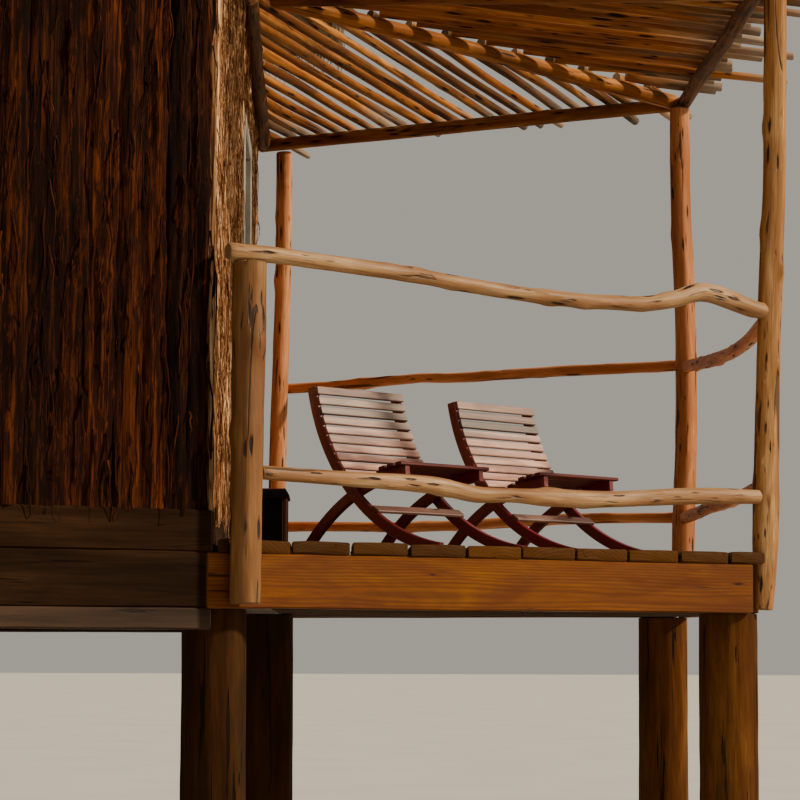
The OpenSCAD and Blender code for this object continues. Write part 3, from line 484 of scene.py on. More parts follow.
def wood(name, dark, mid, light, end, streak=14, fibre=150, fibres=0.45, crack=0.0, crack_size=26,
         patch=0.5, stain_and_shade=None, figure=0.0, flecks=0.0, knots=0.0, rings=170, end_rings=0.5,
         tones=(0.78, 1.2), worn=(0.3, 0.28, 0.24), rough=0.6, depth=0.0012, specular=0.3):
    """Wood with streaks, fibres, long cracks, stained patches and rings on cut ends. On the chair's back
    slats, and partly on the roof poles, the patches are painted shade. figure shows the growth rings on the
    faces, and flecks and knots are the shares of dark slits and knots."""
    p = Paint(name, specular)
    grain = p.attribute("grain", "Vector")
    streaks = p.noise(grain, 1.1, streak, 5, 0.6, 0.4)
    fine = p.noise(grain, 7, fibre, 3, 0.6)
    patches = p.noise(grain, 1.3, 5, 4, 0.6, 0.8)
    wander = p.noise(grain, 0.9, 6, 2, 0.4)
    colour = p.ramp(streaks, (0.3, dark), (0.5, mid), (0.7, light))
    ring = p.math("MULTIPLY_ADD", p.radial(grain), rings, p.times(wander, 5.0))
    ring = p.span(p.math("SINE", p.times(ring, 6.28)), -1, 1)
    if figure:
        strength = p.span(patches, 0.3, 0.7, 0.35 * figure, figure)
        line = p.times(p.math("POWER", ring, 2.0), strength)
        colour = p.mix(line, colour, dimmed(dark))
    colour = p.mix(p.span(fine, 0.35, 0.75, 0.0, fibres), colour, dark)
    stain_and_shade = stain_and_shade or dark
    # Patches in the stain colour: stains on most woods, painted shade on the chair's back slats and partly on
    # the roof poles
    colour = p.mix(p.span(patches, 0.47, 0.66, 0.0, patch), colour, stain_and_shade)
    height = p.math("MULTIPLY_ADD", fine, 0.35, p.times(streaks, 0.6))
    deep = dimmed(dark, 0.08)
    if crack:
        split = p.noise(grain, 1.6, crack_size, 3, 0.5, 0.9)
        split = p.span(split, 0.25 + 0.1 * crack, 0.29 + 0.1 * crack, 1.0, 0.0)
        colour = p.mix(p.times(split, 0.8), colour, deep)
        height = p.math("SUBTRACT", height, p.times(split, 1.6))
    if flecks or knots:
        ragged = p.bent(grain, 0.005)
        slit = p.spots(ragged, 7, 42, 0.45, flecks)
        colour = p.mix(p.span(slit, 0.0, 0.3, 0.0, 0.7), colour, stain_and_shade)
        colour = p.mix(p.span(slit, 0.3, 0.5, 0.0, 0.95), colour, deep)
        height = p.math("SUBTRACT", height, p.span(slit, 0.2, 0.6, 0.0, 1.4))
        knot = p.spots(ragged, 7, 22, 0.3, knots)
        colour = p.mix(p.span(knot, 0.0, 0.4, 0.0, 0.6), colour, stain_and_shade)
        colour = p.mix(p.span(knot, 0.5, 0.65, 0.0, 0.8), colour, deep)
        height = p.math("ADD", height, knot)
    cut = p.mix(p.times(ring, end_rings), end, dimmed(end))
    cut = p.mix(p.span(fine, 0.4, 0.7, 0.0, 0.35), cut, dimmed(end, 0.6))
    colour = p.mix(p.attribute("cut"), colour, cut)
    age = p.times(p.attribute("worn"), p.span(patches, 0.3, 0.6, 0.6, 1.0))
    colour = p.toned(p.mix(age, colour, worn), *tones)
    roughness = p.span(streaks, 0.3, 0.7, min(1, rough + 0.12), max(0.2, rough - 0.1))
    return p.finish(colour, roughness, height, depth)


def bark(name, dark, mid, light, coarse=22, spread=0.14, tones=(0.55, 1.5), depth=0.004):
    """Dry stringy bark: long ragged fibres with deep dark gaps and bleached ridges. Its two copies below
    carry painted sunlight and painted shade in their colours.
    """
    p = Paint(name, 0.06)
    grain = p.attribute("grain", "Vector")
    strings = p.noise(grain, 2.2, 60, 6, 0.65, 1.1)
    ridges = p.noise(grain, 1.2, coarse, 4, 0.6, 0.6)
    flecks = p.noise(grain, 14, 90, 3, 0.6)
    both = p.math("MULTIPLY_ADD", strings, 0.5, p.times(ridges, 0.5))
    colour = p.ramp(both, (0.5 - spread, dark), (0.5, mid), (0.5 + spread, light))
    colour = p.mix(p.span(flecks, 0.6, 0.75, 0.0, 0.5), colour, light)
    height = p.math("ADD", strings, ridges)
    return p.finish(p.toned(colour, *tones), 0.85, height, depth)


def straw(name, dark, mid, light):
    """Dry palm and grass thatch: fine stems along the slope, grey outside and gold inside."""
    p = Paint(name, 0.25)
    grain = p.attribute("grain", "Vector")
    fine = p.noise(grain, 4, 170, 3, 0.6, 0.3)
    clumps = p.noise(grain, 2.5, 26, 4, 0.6)
    both = p.math("MULTIPLY_ADD", fine, 0.55, p.times(clumps, 0.45))
    colour = p.ramp(both, (0.33, dark), (0.5, mid), (0.66, light))
    colour = p.mix(p.times(p.attribute("worn"), 0.8), colour, (0.16, 0.14, 0.12))
    return p.finish(p.toned(colour, 0.6, 1.35), 0.8, both, 0.003)


LOG_LOOK = dict(streak=13, crack=1.1, flecks=0.6, knots=0.5, rings=130, depth=0.003)
PEELED = wood(
    "peeled_log", (0.2, 0.07, 0.012), (0.4, 0.18, 0.045), (0.6, 0.34, 0.13), (0.25, 0.12, 0.04),
    fibres=0.9, patch=0.85, stain_and_shade=(0.2, 0.065, 0.01), tones=(0.5, 1.4), rough=0.55, **LOG_LOOK)
RAIL = wood(
    "rail_log", (0.22, 0.09, 0.03), (0.4, 0.21, 0.085), (0.6, 0.39, 0.2), (0.3, 0.16, 0.07), streak=13,
    fibres=0.9, crack=1.2, patch=0.9, stain_and_shade=(0.2, 0.08, 0.022), flecks=0.8, knots=0.6, rings=130,
    tones=(0.68, 1.0), rough=0.55, depth=0.004)
PINK_LOG = wood(
    "weathered_log", (0.2, 0.065, 0.022), (0.4, 0.16, 0.06), (0.54, 0.26, 0.12), (0.28, 0.14, 0.07),
    fibres=0.85, patch=0.8, stain_and_shade=(0.2, 0.06, 0.014), tones=(0.8, 1.8), rough=0.6, specular=0.15,
    **LOG_LOOK)
# The poles' wide spread of tones and their dark patches are partly their own colour and partly painted sun
# and shade through the roof's gaps
ROOF_POLE = wood(
    "roof_pole", (0.1, 0.024, 0.002), (0.27, 0.09, 0.013), (0.46, 0.205, 0.052), (0.3, 0.2, 0.12),
    streak=26, fibres=0.6, crack=0.9, crack_size=40, patch=0.85, stain_and_shade=(0.07, 0.022, 0.004), flecks=0.6,
    knots=0.5, rings=260, tones=(0.4, 1.6), worn=(0.2, 0.15, 0.11), rough=0.7, depth=0.002, specular=0.12)
BEAM = wood(
    "fascia_beam", (0.1, 0.023, 0.0004), (0.19, 0.056, 0.0008), (0.26, 0.092, 0.002), (0.12, 0.045, 0.01),
    streak=9, fibre=110, fibres=0.7, crack=0.55, crack_size=34, patch=0.8, stain_and_shade=(0.085, 0.018, 0.0006),
    figure=0.85, flecks=0.07, knots=0.08, rings=95, tones=(0.9, 1.1), rough=0.6, depth=0.0006,
    specular=0.14)
# The cabin's rim and sills: near-black, painted shade over the beams' own brown
BEAM_PAINTED_SHADE = wood(
    "cabin_beam_painted_shade", (0.008, 0.0025, 0.0004), (0.02, 0.007, 0.001), (0.045, 0.016, 0.003),
    (0.06, 0.03, 0.012), crack=0.6, figure=0.3, rings=60, rough=0.8, specular=0.08)
# Near-black: painted shade on the joists and bearers under the floors; the walls' lining uses it too
FLOOR_TIMBER_PAINTED_SHADE = wood(
    "floor_timber", (0.014, 0.005, 0.0015), (0.036, 0.014, 0.004), (0.07, 0.029, 0.009),
    (0.1, 0.055, 0.03), crack=0.5, rough=0.75)
DECK_WOOD = wood(
    "deck_wood", (0.1, 0.062, 0.028), (0.2, 0.135, 0.07), (0.32, 0.235, 0.135), (0.075, 0.025, 0.001),
    streak=16, crack=0.5, stain_and_shade=(0.08, 0.05, 0.024), figure=0.25, flecks=0.15, rings=75, end_rings=0.6,
    tones=(0.6, 1.3), rough=0.8, specular=0.12)
STILT_LOG = wood(
    "stilt_log", (0.028, 0.008, 0.0008), (0.078, 0.024, 0.0025), (0.14, 0.054, 0.01), (0.06, 0.03, 0.012),
    streak=12, fibre=70, fibres=0.6, crack=0.8, crack_size=30, patch=0.75, stain_and_shade=(0.03, 0.012, 0.0018),
    rings=60, tones=(0.45, 1.25), rough=0.85, depth=0.005, specular=0.1)
DOOR_WOOD = wood(
    "door_frame_wood", (0.27, 0.25, 0.22), (0.42, 0.39, 0.34), (0.58, 0.55, 0.49), (0.3, 0.25, 0.2),
    crack=0.4, patch=0.25, rough=0.6)
CHAIR_FRAME = wood(
    "chair_frame_wood", (0.07, 0.002, 0.005), (0.115, 0.004, 0.01), (0.17, 0.009, 0.018),
    (0.15, 0.02, 0.02), streak=20, patch=0.4, rings=200, tones=(0.9, 1.2), rough=0.32, depth=0.0004,
    specular=0.6)
# Back slats: the dark patches and the wide spread of tones paint dappled shade
CHAIR_SLAT_PAINTED_SHADE = wood(
    "chair_slat_wood_painted_shade", (0.22, 0.085, 0.06), (0.48, 0.26, 0.2), (0.8, 0.57, 0.48), (0.2, 0.07, 0.05),
    streak=26, fibres=0.6, patch=0.9, stain_and_shade=(0.08, 0.022, 0.02), rings=200, tones=(0.2, 1.3), rough=0.42,
    depth=0.0006, specular=0.5)
SEAT_SLAT = wood(
    "seat_slat_wood", (0.06, 0.002, 0.002), (0.095, 0.004, 0.004), (0.15, 0.014, 0.012),
    (0.08, 0.012, 0.008), streak=26, rings=200, rough=0.4, depth=0.0006, specular=0.4)
BOX_WOOD = wood(
    "box_wood", (0.0012, 0.001, 0.001), (0.0025, 0.0016, 0.0014), (0.006, 0.0035, 0.0025),
    (0.09, 0.03, 0.016), patch=0.2, rough=0.7, depth=0.0005, specular=0.05)
# One bark made twice: the dark copy is painted shade for the walls under the trees, the pale copy is painted
# sunlight for the door wall
BARK_PAINTED_SHADE = bark(
    "bark_painted_shade", (0.001, 0.0002, 0.0001), (0.011, 0.002, 0.0005), (0.085, 0.02, 0.0035))
BARK_PAINTED_SUN = bark(
    "bark_painted_sun", (0.01, 0.003, 0.001), (0.21, 0.08, 0.026), (0.68, 0.43, 0.24), coarse=34, spread=0.09,
    depth=0.008)
STRAW = straw("thatch", (0.1, 0.065, 0.035), (0.27, 0.2, 0.11), (0.46, 0.37, 0.23))
IRON = wood(
    "nail_iron", (0.02, 0.017, 0.015), (0.05, 0.04, 0.035), (0.09, 0.075, 0.065), (0.05, 0.035, 0.025),
    patch=0.4, rough=0.5, depth=0.0002)


# Stilts and floor structure

def logs_from(heap, node, rng, **look):
    """Round logs in the place of each solid of a node."""
    for points in solids(node):
        log(heap, *spine(points), rng, **look)


def make_piece(build, node, name, paint, slot, rng, **look):
    """A piece from boards_from or logs_from, which stands for one node."""
    heap = Heap()
    build(heap, node, rng, **look)
    heap.piece(name, paint, slot, [node])


def make_stilts():
    rng = np.random.default_rng(3)
    # The cabin's stilts get very low tones: painted shade on them
    for node, tones_with_painted_shade in (("veranda_stilts", (0.8, 1.0)), ("cabin_stilts", (0.0, 0.1))):
        heap = Heap()
        for points in solids(node):
            line, _ = spine(points)
            height = points[:, 2]
            ends = [points[abs(height - z) < 0.01] for z in (height.min(), height.max())]
            radii = [float(np.ptp(ring[:, 0])) / 2 for ring in ends]
            log(heap, line, radii, rng, sides=32, step=0.06, rough=0.03, flat=0.015, chamfer=0.003,
                tone=rng.uniform(*tones_with_painted_shade))
        heap.piece(node + "_logs", STILT_LOG, "stilt_log", [node])


def make_floor():
    rng = np.random.default_rng(5)
    for node in ("front_fascia_beam", "end_fascia_beam", "back_fascia_beam"):
        make_piece(boards_from, node, node + "_timber", BEAM, "beam_wood", rng, bevel=0.005, step=0.05)
    make_piece(boards_from, "cabin_rim_beams", "cabin_rim_timber", BEAM_PAINTED_SHADE, "beam_wood", rng, bevel=0.006,
               wave=0.003)
    for node in ("floor_beams", "veranda_joists", "cabin_joists", "cabin_bearers", "wall_sills"):
        paint = BEAM_PAINTED_SHADE if node == "wall_sills" else FLOOR_TIMBER_PAINTED_SHADE
        make_piece(boards_from, node, node + "_timber", paint, "floor_timber", rng, bevel=0.006, step=0.2)
    for node, step in (("deck_boards", 0.08), ("cabin_floor", 0.25)):
        make_piece(boards_from, node, node + "_planks", DECK_WOOD, "deck_wood", rng, bevel=0.005,
                   wave=0.0025, step=step, round_over=0.002)


# Cabin walls

LEFT_X, RIGHT_X = CABIN_X - CABIN_HALF, CABIN_X + CABIN_HALF
# Corners of the cabin, counted against the clock from the front end of the door wall
CABIN = [(RIGHT_X, -LONG_Y), (RIGHT_X, LONG_Y), (CABIN_X, SHORT_Y), (LEFT_X, LONG_Y), (LEFT_X, -LONG_Y),
         (CABIN_X, -SHORT_Y)]
CABIN_SIDES = [on_side(corner, turn) for corner, turn in zip(CABIN, (90, 150, 210, 270, 330, 30))]
# The side on which each wall stands
WALLS = {
    "door_wall_front_part": 0, "door_wall_back_part": 0, "door_wall_head": 0, "back_wall": 1,
    "back_left_wall": 2, "left_wall": 3, "front_left_wall": 4, "front_wall": 5,
}
BARK_DEPTH = 0.03
SLAB_W = (0.05, 0.12)
SLAB_LEAST = 0.04
SLAB_T = (0.012, 0.024)
BARK_ROW = 0.055
BARK_LAP = 0.004
STRINGS_M2 = 75
LINING_T = 0.02
LINING_W = 0.15
LINING_GAP = 0.002


def local_box(node, place):
    """Corners of a node in the frame of its side."""
    local = placed(place.inverted(), np.concatenate(solids(node)))
    return local.min(0), local.max(0)


def bark_slabs(heap, place, left, right, bottom, top, rng):
    """Upright strips of bark side by side over a wall's outer face, with ragged lower ends."""
    at = left
    while at < right - 0.01:
        width = min(rng.uniform(*SLAB_W), right - at)
        if right - at - width < SLAB_LEAST:
            width = right - at
        thick = rng.uniform(*SLAB_T)
        seed = int(rng.integers(1 << 20))
        rows = max(4, int((top - bottom) / BARK_ROW))
        drop = rng.uniform(0, 0.05)
        heights = np.concatenate([[bottom - drop], np.linspace(bottom, top, rows)])
        z, u = np.meshgrid(heights, np.linspace(-1, 1, 10), indexing="ij")
        out = thick * np.sqrt(1 - 0.85 * u * u)
        out += 0.007 * noise(z * 3, u * 2.2, seed, seed) + 0.0065 * noise(z * 9, u * 5, seed, seed + 1)
        out += 0.004 * noise(z * 30, u * 8, seed, seed + 2)
        out = np.maximum(out, 0.001)
        edge = 0.55 + 0.06 * noise(z * 6, 3, seed, seed + 3)
        face = np.stack([at + width / 2 + u * width * edge, BARK_DEPTH - 0.008 - out, z], -1)
        back = face[:, [-1, 0]]
        back[..., 1] = BARK_DEPTH
        local = np.concatenate([face, back], 1)
        local[..., 0] = np.clip(local[..., 0], left - BARK_LAP, right + BARK_LAP)
        grain = np.stack([local[..., 2] + rng.uniform(0, 30), local[..., 0], local[..., 1] * 2], -1)
        heap.sweep(placed(place, local)[None], grain[None], rng.uniform())
        at += width


def strings(heap, place, left, right, bottom, top, count, rng):
    """Loose fibres that peel off the bark, thin and slightly curled."""
    s = np.linspace(0, 1, 6)
    length = rng.uniform(0.08, 0.5, (count, 1))
    start = bottom + (top - bottom) * rng.uniform(0.05, 1, (count, 1))
    at = rng.uniform(left + 0.01, right - 0.01, (count, 1))
    lean = rng.normal(0, 0.05, (count, 1))
    out = rng.uniform(0.002, 0.02, (count, 1))
    x = np.clip(at + lean * s * length + 0.006 * np.sin(9 * s + 40 * at), left, right)
    y = 0.004 - out * np.sin(np.pi * s) - 0.006 * s
    z = np.maximum(start - s * length, bottom - 0.05)
    fibres(heap, place, (x, y, z), 2, (0.002, 0.007), 0.75, 0.5, (0.1, 1.0), rng, stretch=3)


def make_walls():
    rng = np.random.default_rng(11)
    for node, side in WALLS.items():
        place = CABIN_SIDES[side]
        lo, hi = local_box(node, place)
        heap = Heap()
        # The bark is let down a little over the sill. Over the doorway only ragged ends hang lower
        foot = 0.0 if node == "door_wall_head" else rng.uniform(0.0, 0.01)
        bark_slabs(heap, place, lo[0], hi[0], lo[2] - foot, hi[2], rng)
        area = (hi[0] - lo[0]) * (hi[2] - lo[2])
        strings(heap, place, lo[0], hi[0], lo[2], hi[2], int(STRINGS_M2 * area), rng)
        # The door wall gets the bark with painted sunlight, the other walls get the bark with painted shade
        heap.piece(node + "_bark", BARK_PAINTED_SHADE if side else BARK_PAINTED_SUN, "bark_wall", [node], sharp=60)
        heap = Heap()
        # The ends are mitred at the cabin's corners and square at the doorway
        left = 0 if node in ("door_wall_back_part", "door_wall_head") else TAN30
        right = 0 if node in ("door_wall_front_part", "door_wall_head") else -TAN30
        lined = hi[1] - LINING_T
        board(heap, place, (lo[0], BARK_DEPTH, lo[2]), (hi[0], lined, hi[2]), rng,
              ends=((lo[0], left), (hi[0], right)), wave=0)
        start, stop = lo[0] + left * hi[1], hi[0] + right * hi[1]
        count = max(1, round((stop - start) / LINING_W))
        edges = start + (stop - start) * np.arange(count + 1) / count
        for a, b in zip(edges, edges[1:] - LINING_GAP):
            board(heap, place @ UPRIGHT, (lo[2], a, lined), (hi[2], b, hi[1]), rng, bevel=0.003, step=0.3)
        heap.piece(node + "_lining", FLOOR_TIMBER_PAINTED_SHADE, "floor_timber")


def make_door_frame():
    rng = np.random.default_rng(13)
    place = CABIN_SIDES[0]
    lo, hi = local_box("door_frame", place)
    post = 0.06
    heap = Heap()
    look = dict(bevel=0.005, wave=0.001)
    for a, b in ((lo[0], lo[0] + post), (hi[0] - post, hi[0])):
        board(heap, place @ UPRIGHT, (DECK_Z, a, lo[1]), (hi[2] - post, b, hi[1]), rng, **look)
    for low, high in ((hi[2] - post, hi[2]), (lo[2], DECK_Z)):
        board(heap, place, (lo[0], lo[1], low), (hi[0], hi[1], high), rng, **look)
    heap.piece("door_frame_timber", DOOR_WOOD, "door_frame_wood", ["door_frame"])


# Roofs

def make_roof_frame():
    rng = np.random.default_rng(17)
    for node in ("wall_plate_logs", "ridge_and_hip_poles", "rafters"):
        make_piece(logs_from, node, node + "_round", ROOF_POLE, "peeled_log", rng, sides=12, step=0.12,
                   sway=0.008, knots=1)


def make_pole_roofs():
    """The veranda's roofs: poles that taper and turn grey toward the eave, and their logs."""
    rng = np.random.default_rng(19)
    for node in ("front_roof_poles", "end_roof_poles", "back_roof_poles"):
        heap = Heap()
        for points in solids(node):
            line, radii = spine(points)
            radius = np.median(radii)
            out = np.hypot(line[:, 0] - CABIN_X, line[:, 1])
            if out[0] > out[-1]:
                line = line[::-1]
            radii = (radius * rng.uniform(0.95, 1.1), radius * rng.uniform(0.72, 0.95))
            log(heap, line, radii, rng, sides=12, step=0.06, rough=0.09, sway=0.014,
                knots=int(rng.integers(1, 5)), chamfer=0.004, worn_end=rng.uniform(0.15, 0.6))
        heap.piece(node + "_round", ROOF_POLE, "roof_pole", [node])
    for node in ("veranda_plate_logs", "veranda_hip_logs"):
        make_piece(logs_from, node, node + "_round", ROOF_POLE, "roof_pole", rng, sides=18, rough=0.05,
                   sway=0.006, knots=3)


THATCH_PITCH = radians(38)
TAN_PITCH, COS_PITCH = tan(THATCH_PITCH), cos(THATCH_PITCH)
THATCH_T = 0.17
THATCH_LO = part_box("cabin_thatch")[0]
EAVE_Z = THATCH_LO.z
EAVE = LEFT_X - THATCH_LO.x
# How far a slope reaches from the wall's face to the ridge
SLOPE_DEPTH = CABIN_HALF - 0.002
COURSE = 0.17
# Section of a course: distance up the plan, height over the upper face and wear
COURSE_REACH = 0.2
COURSE_SHAPE = [(0.0, -0.045, 0.2), (-0.006, -0.008, 0.5), (0.02, 0.006, 0.9), (0.09, 0.0, 0.7),
                (COURSE_REACH, -0.024, 0.2), (COURSE_REACH, -0.05, 0.0)]
COLUMN_W = 0.022
STEMS_M2 = 80
FRINGE_M = 260


def thatch_under(n):
    """Height of the thatch's lower face at n inside the wall's face."""
    return EAVE_Z + (n + EAVE) * TAN_PITCH


def thatch_top(n):
    """Height of its upper face."""
    return EAVE_Z + THATCH_T / COS_PITCH + (n + EAVE) * TAN_PITCH


def thatch_courses(heap, place, long, i, rng):
    """Overlapping courses on one slope, each with a ragged thick lower edge, over a plain body."""
    body_sink = 0.03
    sections = []
    for n in (-EAVE + body_sink, SLOPE_DEPTH):
        left, right = n * TAN30 + 0.001, long - n * TAN30 - 0.001
        right = max(right, left + 0.002)
        under, over = thatch_under(n) + 0.004, thatch_top(n) - body_sink / COS_PITCH
        sections.append([[left, n, under], [right, n, under], [right, n, over], [left, n, over]])
    body = np.array(sections)[None]
    # The body under the courses gets a low tone: painted shade deep in the thatch
    heap.sweep(placed(place, body), body[..., [1, 0, 2]], 0.25)
    for k in range(int((SLOPE_DEPTH + EAVE) / COURSE)):
        foot = -EAVE + k * COURSE
        columns = int((long - 2 * foot * TAN30 + 0.02) / COLUMN_W)
        u = np.linspace(0, 1, columns)
        ragged = 0.034 * noise(u * columns * 0.93, k * 3.1, i, 5) + 0.007 * noise(u * columns * 0.37, k, i, 9)
        puff = 0.006 * noise(u * columns * 0.9, k * 2.3, i, 8)
        if k == 0:
            # The lowest course keeps close to the eave
            ragged = np.maximum(ragged, -0.012)
            foot += 0.016
        rows = []
        for inward, lift, _ in COURSE_SHAPE:
            n = foot + inward + ragged * (1 - min(1, inward / COURSE_REACH))
            t = n * TAN30 + (long - 2 * n * TAN30) * u
            rows.append(np.stack([t, n, thatch_top(n) + lift + puff * (lift > -0.02)], -1))
        local = np.stack(rows, 1)
        grain = np.stack([local[..., 1] * 1.3 + 7 * k, local[..., 0], local[..., 2] * 0.4], -1)
        worn = np.array([wear for _, _, wear in COURSE_SHAPE])
        heap.sweep(placed(place, local)[None], grain[None], rng.uniform(0.4, 0.75), worn)


def loose_stems(heap, place, long, rng):
    """Thin stems that lie down the slope and stick out of it a little."""
    count = int(STEMS_M2 * (SLOPE_DEPTH + EAVE) * long)
    n = rng.uniform(-EAVE + 0.05, SLOPE_DEPTH - 0.1, count)
    n = n[long - 2 * n * TAN30 > 0.05]
    count = len(n)
    t = (n * TAN30 + (long - 2 * n * TAN30) * rng.uniform(0, 1, count))[:, None]
    s = np.linspace(0, 1, 3)
    length = rng.uniform(0.12, 0.34, (count, 1))
    skew = rng.normal(0, 0.12, (count, 1))
    n = np.maximum(n[:, None] - s * length, -EAVE - 0.02)
    z = thatch_top(n) + 0.008 + rng.uniform(0.0, 0.02, (count, 1)) * s
    middles = (t + skew * s * length, n, z)
    fibres(heap, place, middles, 1, (0.003, 0.007), 0.6, 0.6, (0.1, 1.3), rng, aged=True)


def eave_fringe(heap, place, long, rng):
    """Stems that hang from the underside of the eave."""
    count = int(FRINGE_M * (long + 2 * EAVE * TAN30))
    n = -EAVE + rng.uniform(0.0, 0.09, count)
    t = n * TAN30 + (long - 2 * n * TAN30) * rng.uniform(0, 1, count)
    s = np.linspace(0, 1, 5)
    length = 0.05 + 0.2 * rng.uniform(0, 1, (count, 1)) ** 4
    x = t[:, None] + rng.normal(0, 0.04, (count, 1)) * s ** 2
    z = thatch_under(n)[:, None] + 0.05 - s * (0.05 + length) * 0.75
    middles = (x, n[:, None] - 0.02 * s, z)
    fibres(heap, place, middles, 2, (0.002, 0.006), 0.6, 0.5, (0.1, 1.2), rng)


def make_thatch():
    rng = np.random.default_rng(23)
    for i, name in enumerate(("door_side", "back_right", "back_left", "left", "front_left", "front_right")):
        heap = Heap()
        long = 2 * (SHORT_Y - LONG_Y) if i % 3 else 2 * LONG_Y
        thatch_courses(heap, CABIN_SIDES[i], long, i, rng)
        loose_stems(heap, CABIN_SIDES[i], long, rng)
        eave_fringe(heap, CABIN_SIDES[i], long, rng)
        heap.piece("thatch_" + name, STRAW, "thatch", () if i else ["cabin_thatch"], sharp=50)
    make_ridge(rng)


def make_ridge(rng):
    """The cap of bundled stems over the ridge, and the poles that hold it down on both slopes."""
    lo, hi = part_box("ridge_cap")
    heap = Heap()
    y = np.linspace(lo.y, hi.y, max(20, int((hi.y - lo.y) / 0.03)))[:, None]
    half = (hi.x - lo.x) / 2
    mid = (hi.x + lo.x) / 2
    thick = hi.z - lo.z - half * TAN_PITCH
    across = np.array([-1, -0.75, -0.4, -0.12, 0.12, 0.4, 0.75, 1])
    u = np.concatenate([across, across[::-1]])
    upper = np.repeat([1.0, 0.0], 8)
    jag = noise(y * 30, u * 4, 1.0, 3) * 0.02
    x = mid + u * half * 0.97 + np.where(abs(u) == 1, jag, 0)
    z = hi.z - 0.01 - abs(x - mid) * TAN_PITCH - (1 - upper) * thick * 0.9
    z = z + 0.01 * noise(y * 22, u * 3, 2.0, 4) * upper - 0.02 * np.exp(-(u * 6) ** 2)
    local = np.stack([x, np.broadcast_to(y, x.shape), z], -1)
    grain = np.stack([abs(local[..., 0] - mid), local[..., 1], local[..., 2] * 0.4], -1)
    heap.sweep(local[None], grain[None], 0.6, 0.5 * upper)
    heap.piece("ridge_cap_thatch", STRAW, "thatch", ["ridge_cap"], sharp=50)
    heap = Heap()
    pole_r, pole_place, pole_in = 0.016, 0.62, 0.06
    for side in (-1, 1):
        x = mid + side * half * pole_place
        z = hi.z - abs(x - mid) * TAN_PITCH - 0.004
        line = [(x, lo.y + pole_in, z), (x, hi.y - pole_in, z)]
        log(heap, line, pole_r, rng, sides=10, rough=0.1, sway=0.01)
    heap.piece("ridge_poles", ROOF_POLE, "roof_pole")


# Railing

# The front rail post's very low tone is painted shade
POST_TONES_WITH_PAINTED_SHADE = {"front_rail_post": 0.06, "front_corner_post": 0.48, "back_corner_post": 0.45,
              "back_wall_post": 0.45}
RAIL_TONES = {"front_rails": 0.5, "end_rails": 0.8, "back_rails": 1.0}


def make_railing():
    rng = np.random.default_rng(29)
    for node, tone in POST_TONES_WITH_PAINTED_SHADE.items():
        paint = PINK_LOG if node.startswith("back") else PEELED
        make_piece(logs_from, node, node + "_log", paint, "peeled_log", rng, sides=24, step=0.03, rough=0.06,
                   knots=8, flat=0.1, tone=tone)
    for node, tone in RAIL_TONES.items():
        paint = RAIL if node == "front_rails" else PINK_LOG
        make_piece(logs_from, node, node + "_round", paint, "peeled_log", rng, sides=20, step=0.025,
                   rough=0.1, knots=16, tone=tone)


# Chairs

# The curves, sizes and places of the part's source, with narrower slats in the same places
CHAIR_W = 0.5
CHAIR_H = 0.656
CHAIR_FOOT = 0.7
ARC_R = 0.82
ARC_STEPS = 40
MEMBER_W = 0.044
MEMBER_T = 0.024
MEMBER_BEVEL = 0.003
SLAT_W = 0.033
SLAT_T = 0.014
SLAT_STEP = 0.044
SLAT_SINK = 0.001
LOW_SLAT = 0.64
LOW_SLAT_W = SLAT_W + 0.008
SEAT_FRONT = np.array([0.5, 0.305])
SEAT_FOOT = np.array([-0.06, 0.0])
SEAT_REACH = 0.008
FIRST_CHAIR = (0.197, -1.067)
CHAIR_STEP = 0.88
CHAIR_BACK_OFF = 0.048
BOLT_R = 0.008
BOLT_OUT = 0.005


def arc_middle(p, q, r, side):
    """The point at a distance r from both p and q, on one side of the line between them."""
    d = q - p
    c = np.linalg.norm(d)
    return (p + q) / 2 + side * np.array([-d[1], d[0]]) / c * sqrt(r * r - c * c / 4)


BACK_MIDDLE = arc_middle(np.array([0, CHAIR_H]), np.array([CHAIR_FOOT, 0]), ARC_R, 1)
SEAT_MIDDLE = arc_middle(SEAT_FOOT, SEAT_FRONT, ARC_R, -1)
FRAMES_CROSS = arc_middle(BACK_MIDDLE, SEAT_MIDDLE, ARC_R, -1)


def arc_member(heap, place, middle, angles, y, rng):
    """A curved flat bar of a chair, with softened edges. angles are its ends in radians."""
    b, w, t = MEMBER_BEVEL, MEMBER_W / 2, MEMBER_T
    side = np.array([-w + b, w - b, w, w, w - b, -w + b, -w, -w])
    up = np.array([0, 0, b, t - b, t, t, t - b, b])
    a, r = np.meshgrid(np.linspace(*angles, ARC_STEPS), ARC_R + side, indexing="ij")
    y = np.broadcast_to(y + up, a.shape)
    # The foot is cut level with the deck
    z = np.maximum(middle[1] + r * np.sin(a), 0.0005)
    local = np.stack([middle[0] + r * np.cos(a), y, z], -1)
    grain = np.stack([a * ARC_R + rng.uniform(0, 9), r - ARC_R + 0.3, y], -1)
    heap.sweep(placed(place, local)[None], grain[None], rng.uniform())


def arc_slat(heap, place, middle, angle, offset, ends, tone, rng, width=SLAT_W):
    """A slat across a chair, at an angle round the middle and an offset from it."""
    turn = Matrix.Translation((middle[0], 0, middle[1])) @ Matrix.Rotation(-angle, 4, "Y")
    along = Matrix(((0, 0, 1, 0), (1, 0, 0, 0), (0, 1, 0, 0), (0, 0, 0, 1)))
    lo = (ends[0], -width / 2, offset - SLAT_T / 2)
    hi = (ends[1], width / 2, offset + SLAT_T / 2)
    board(heap, place @ turn @ along, lo, hi, rng, bevel=0.003, wave=0.0006, step=0.06, tone=tone)


def angle_of(middle, x, z):
    return atan2(z - middle[1], x - middle[0])


def bolt(heap, place, x, y, z, way, rng):
    """A small domed head on the side of a chair, facing along Y."""
    a = circle(12)
    radius = BOLT_R * np.array([[1.0], [1.0], [0.75], [0.3]])
    out = np.repeat(y + way * BOLT_OUT * np.array([[0], [0.5], [0.85], [1.0]]), 12, 1)
    local = np.stack([x + radius * np.cos(a), out, z + radius * np.sin(a)], -1)
    heap.sweep(placed(place, local)[None], local[None], rng.uniform())


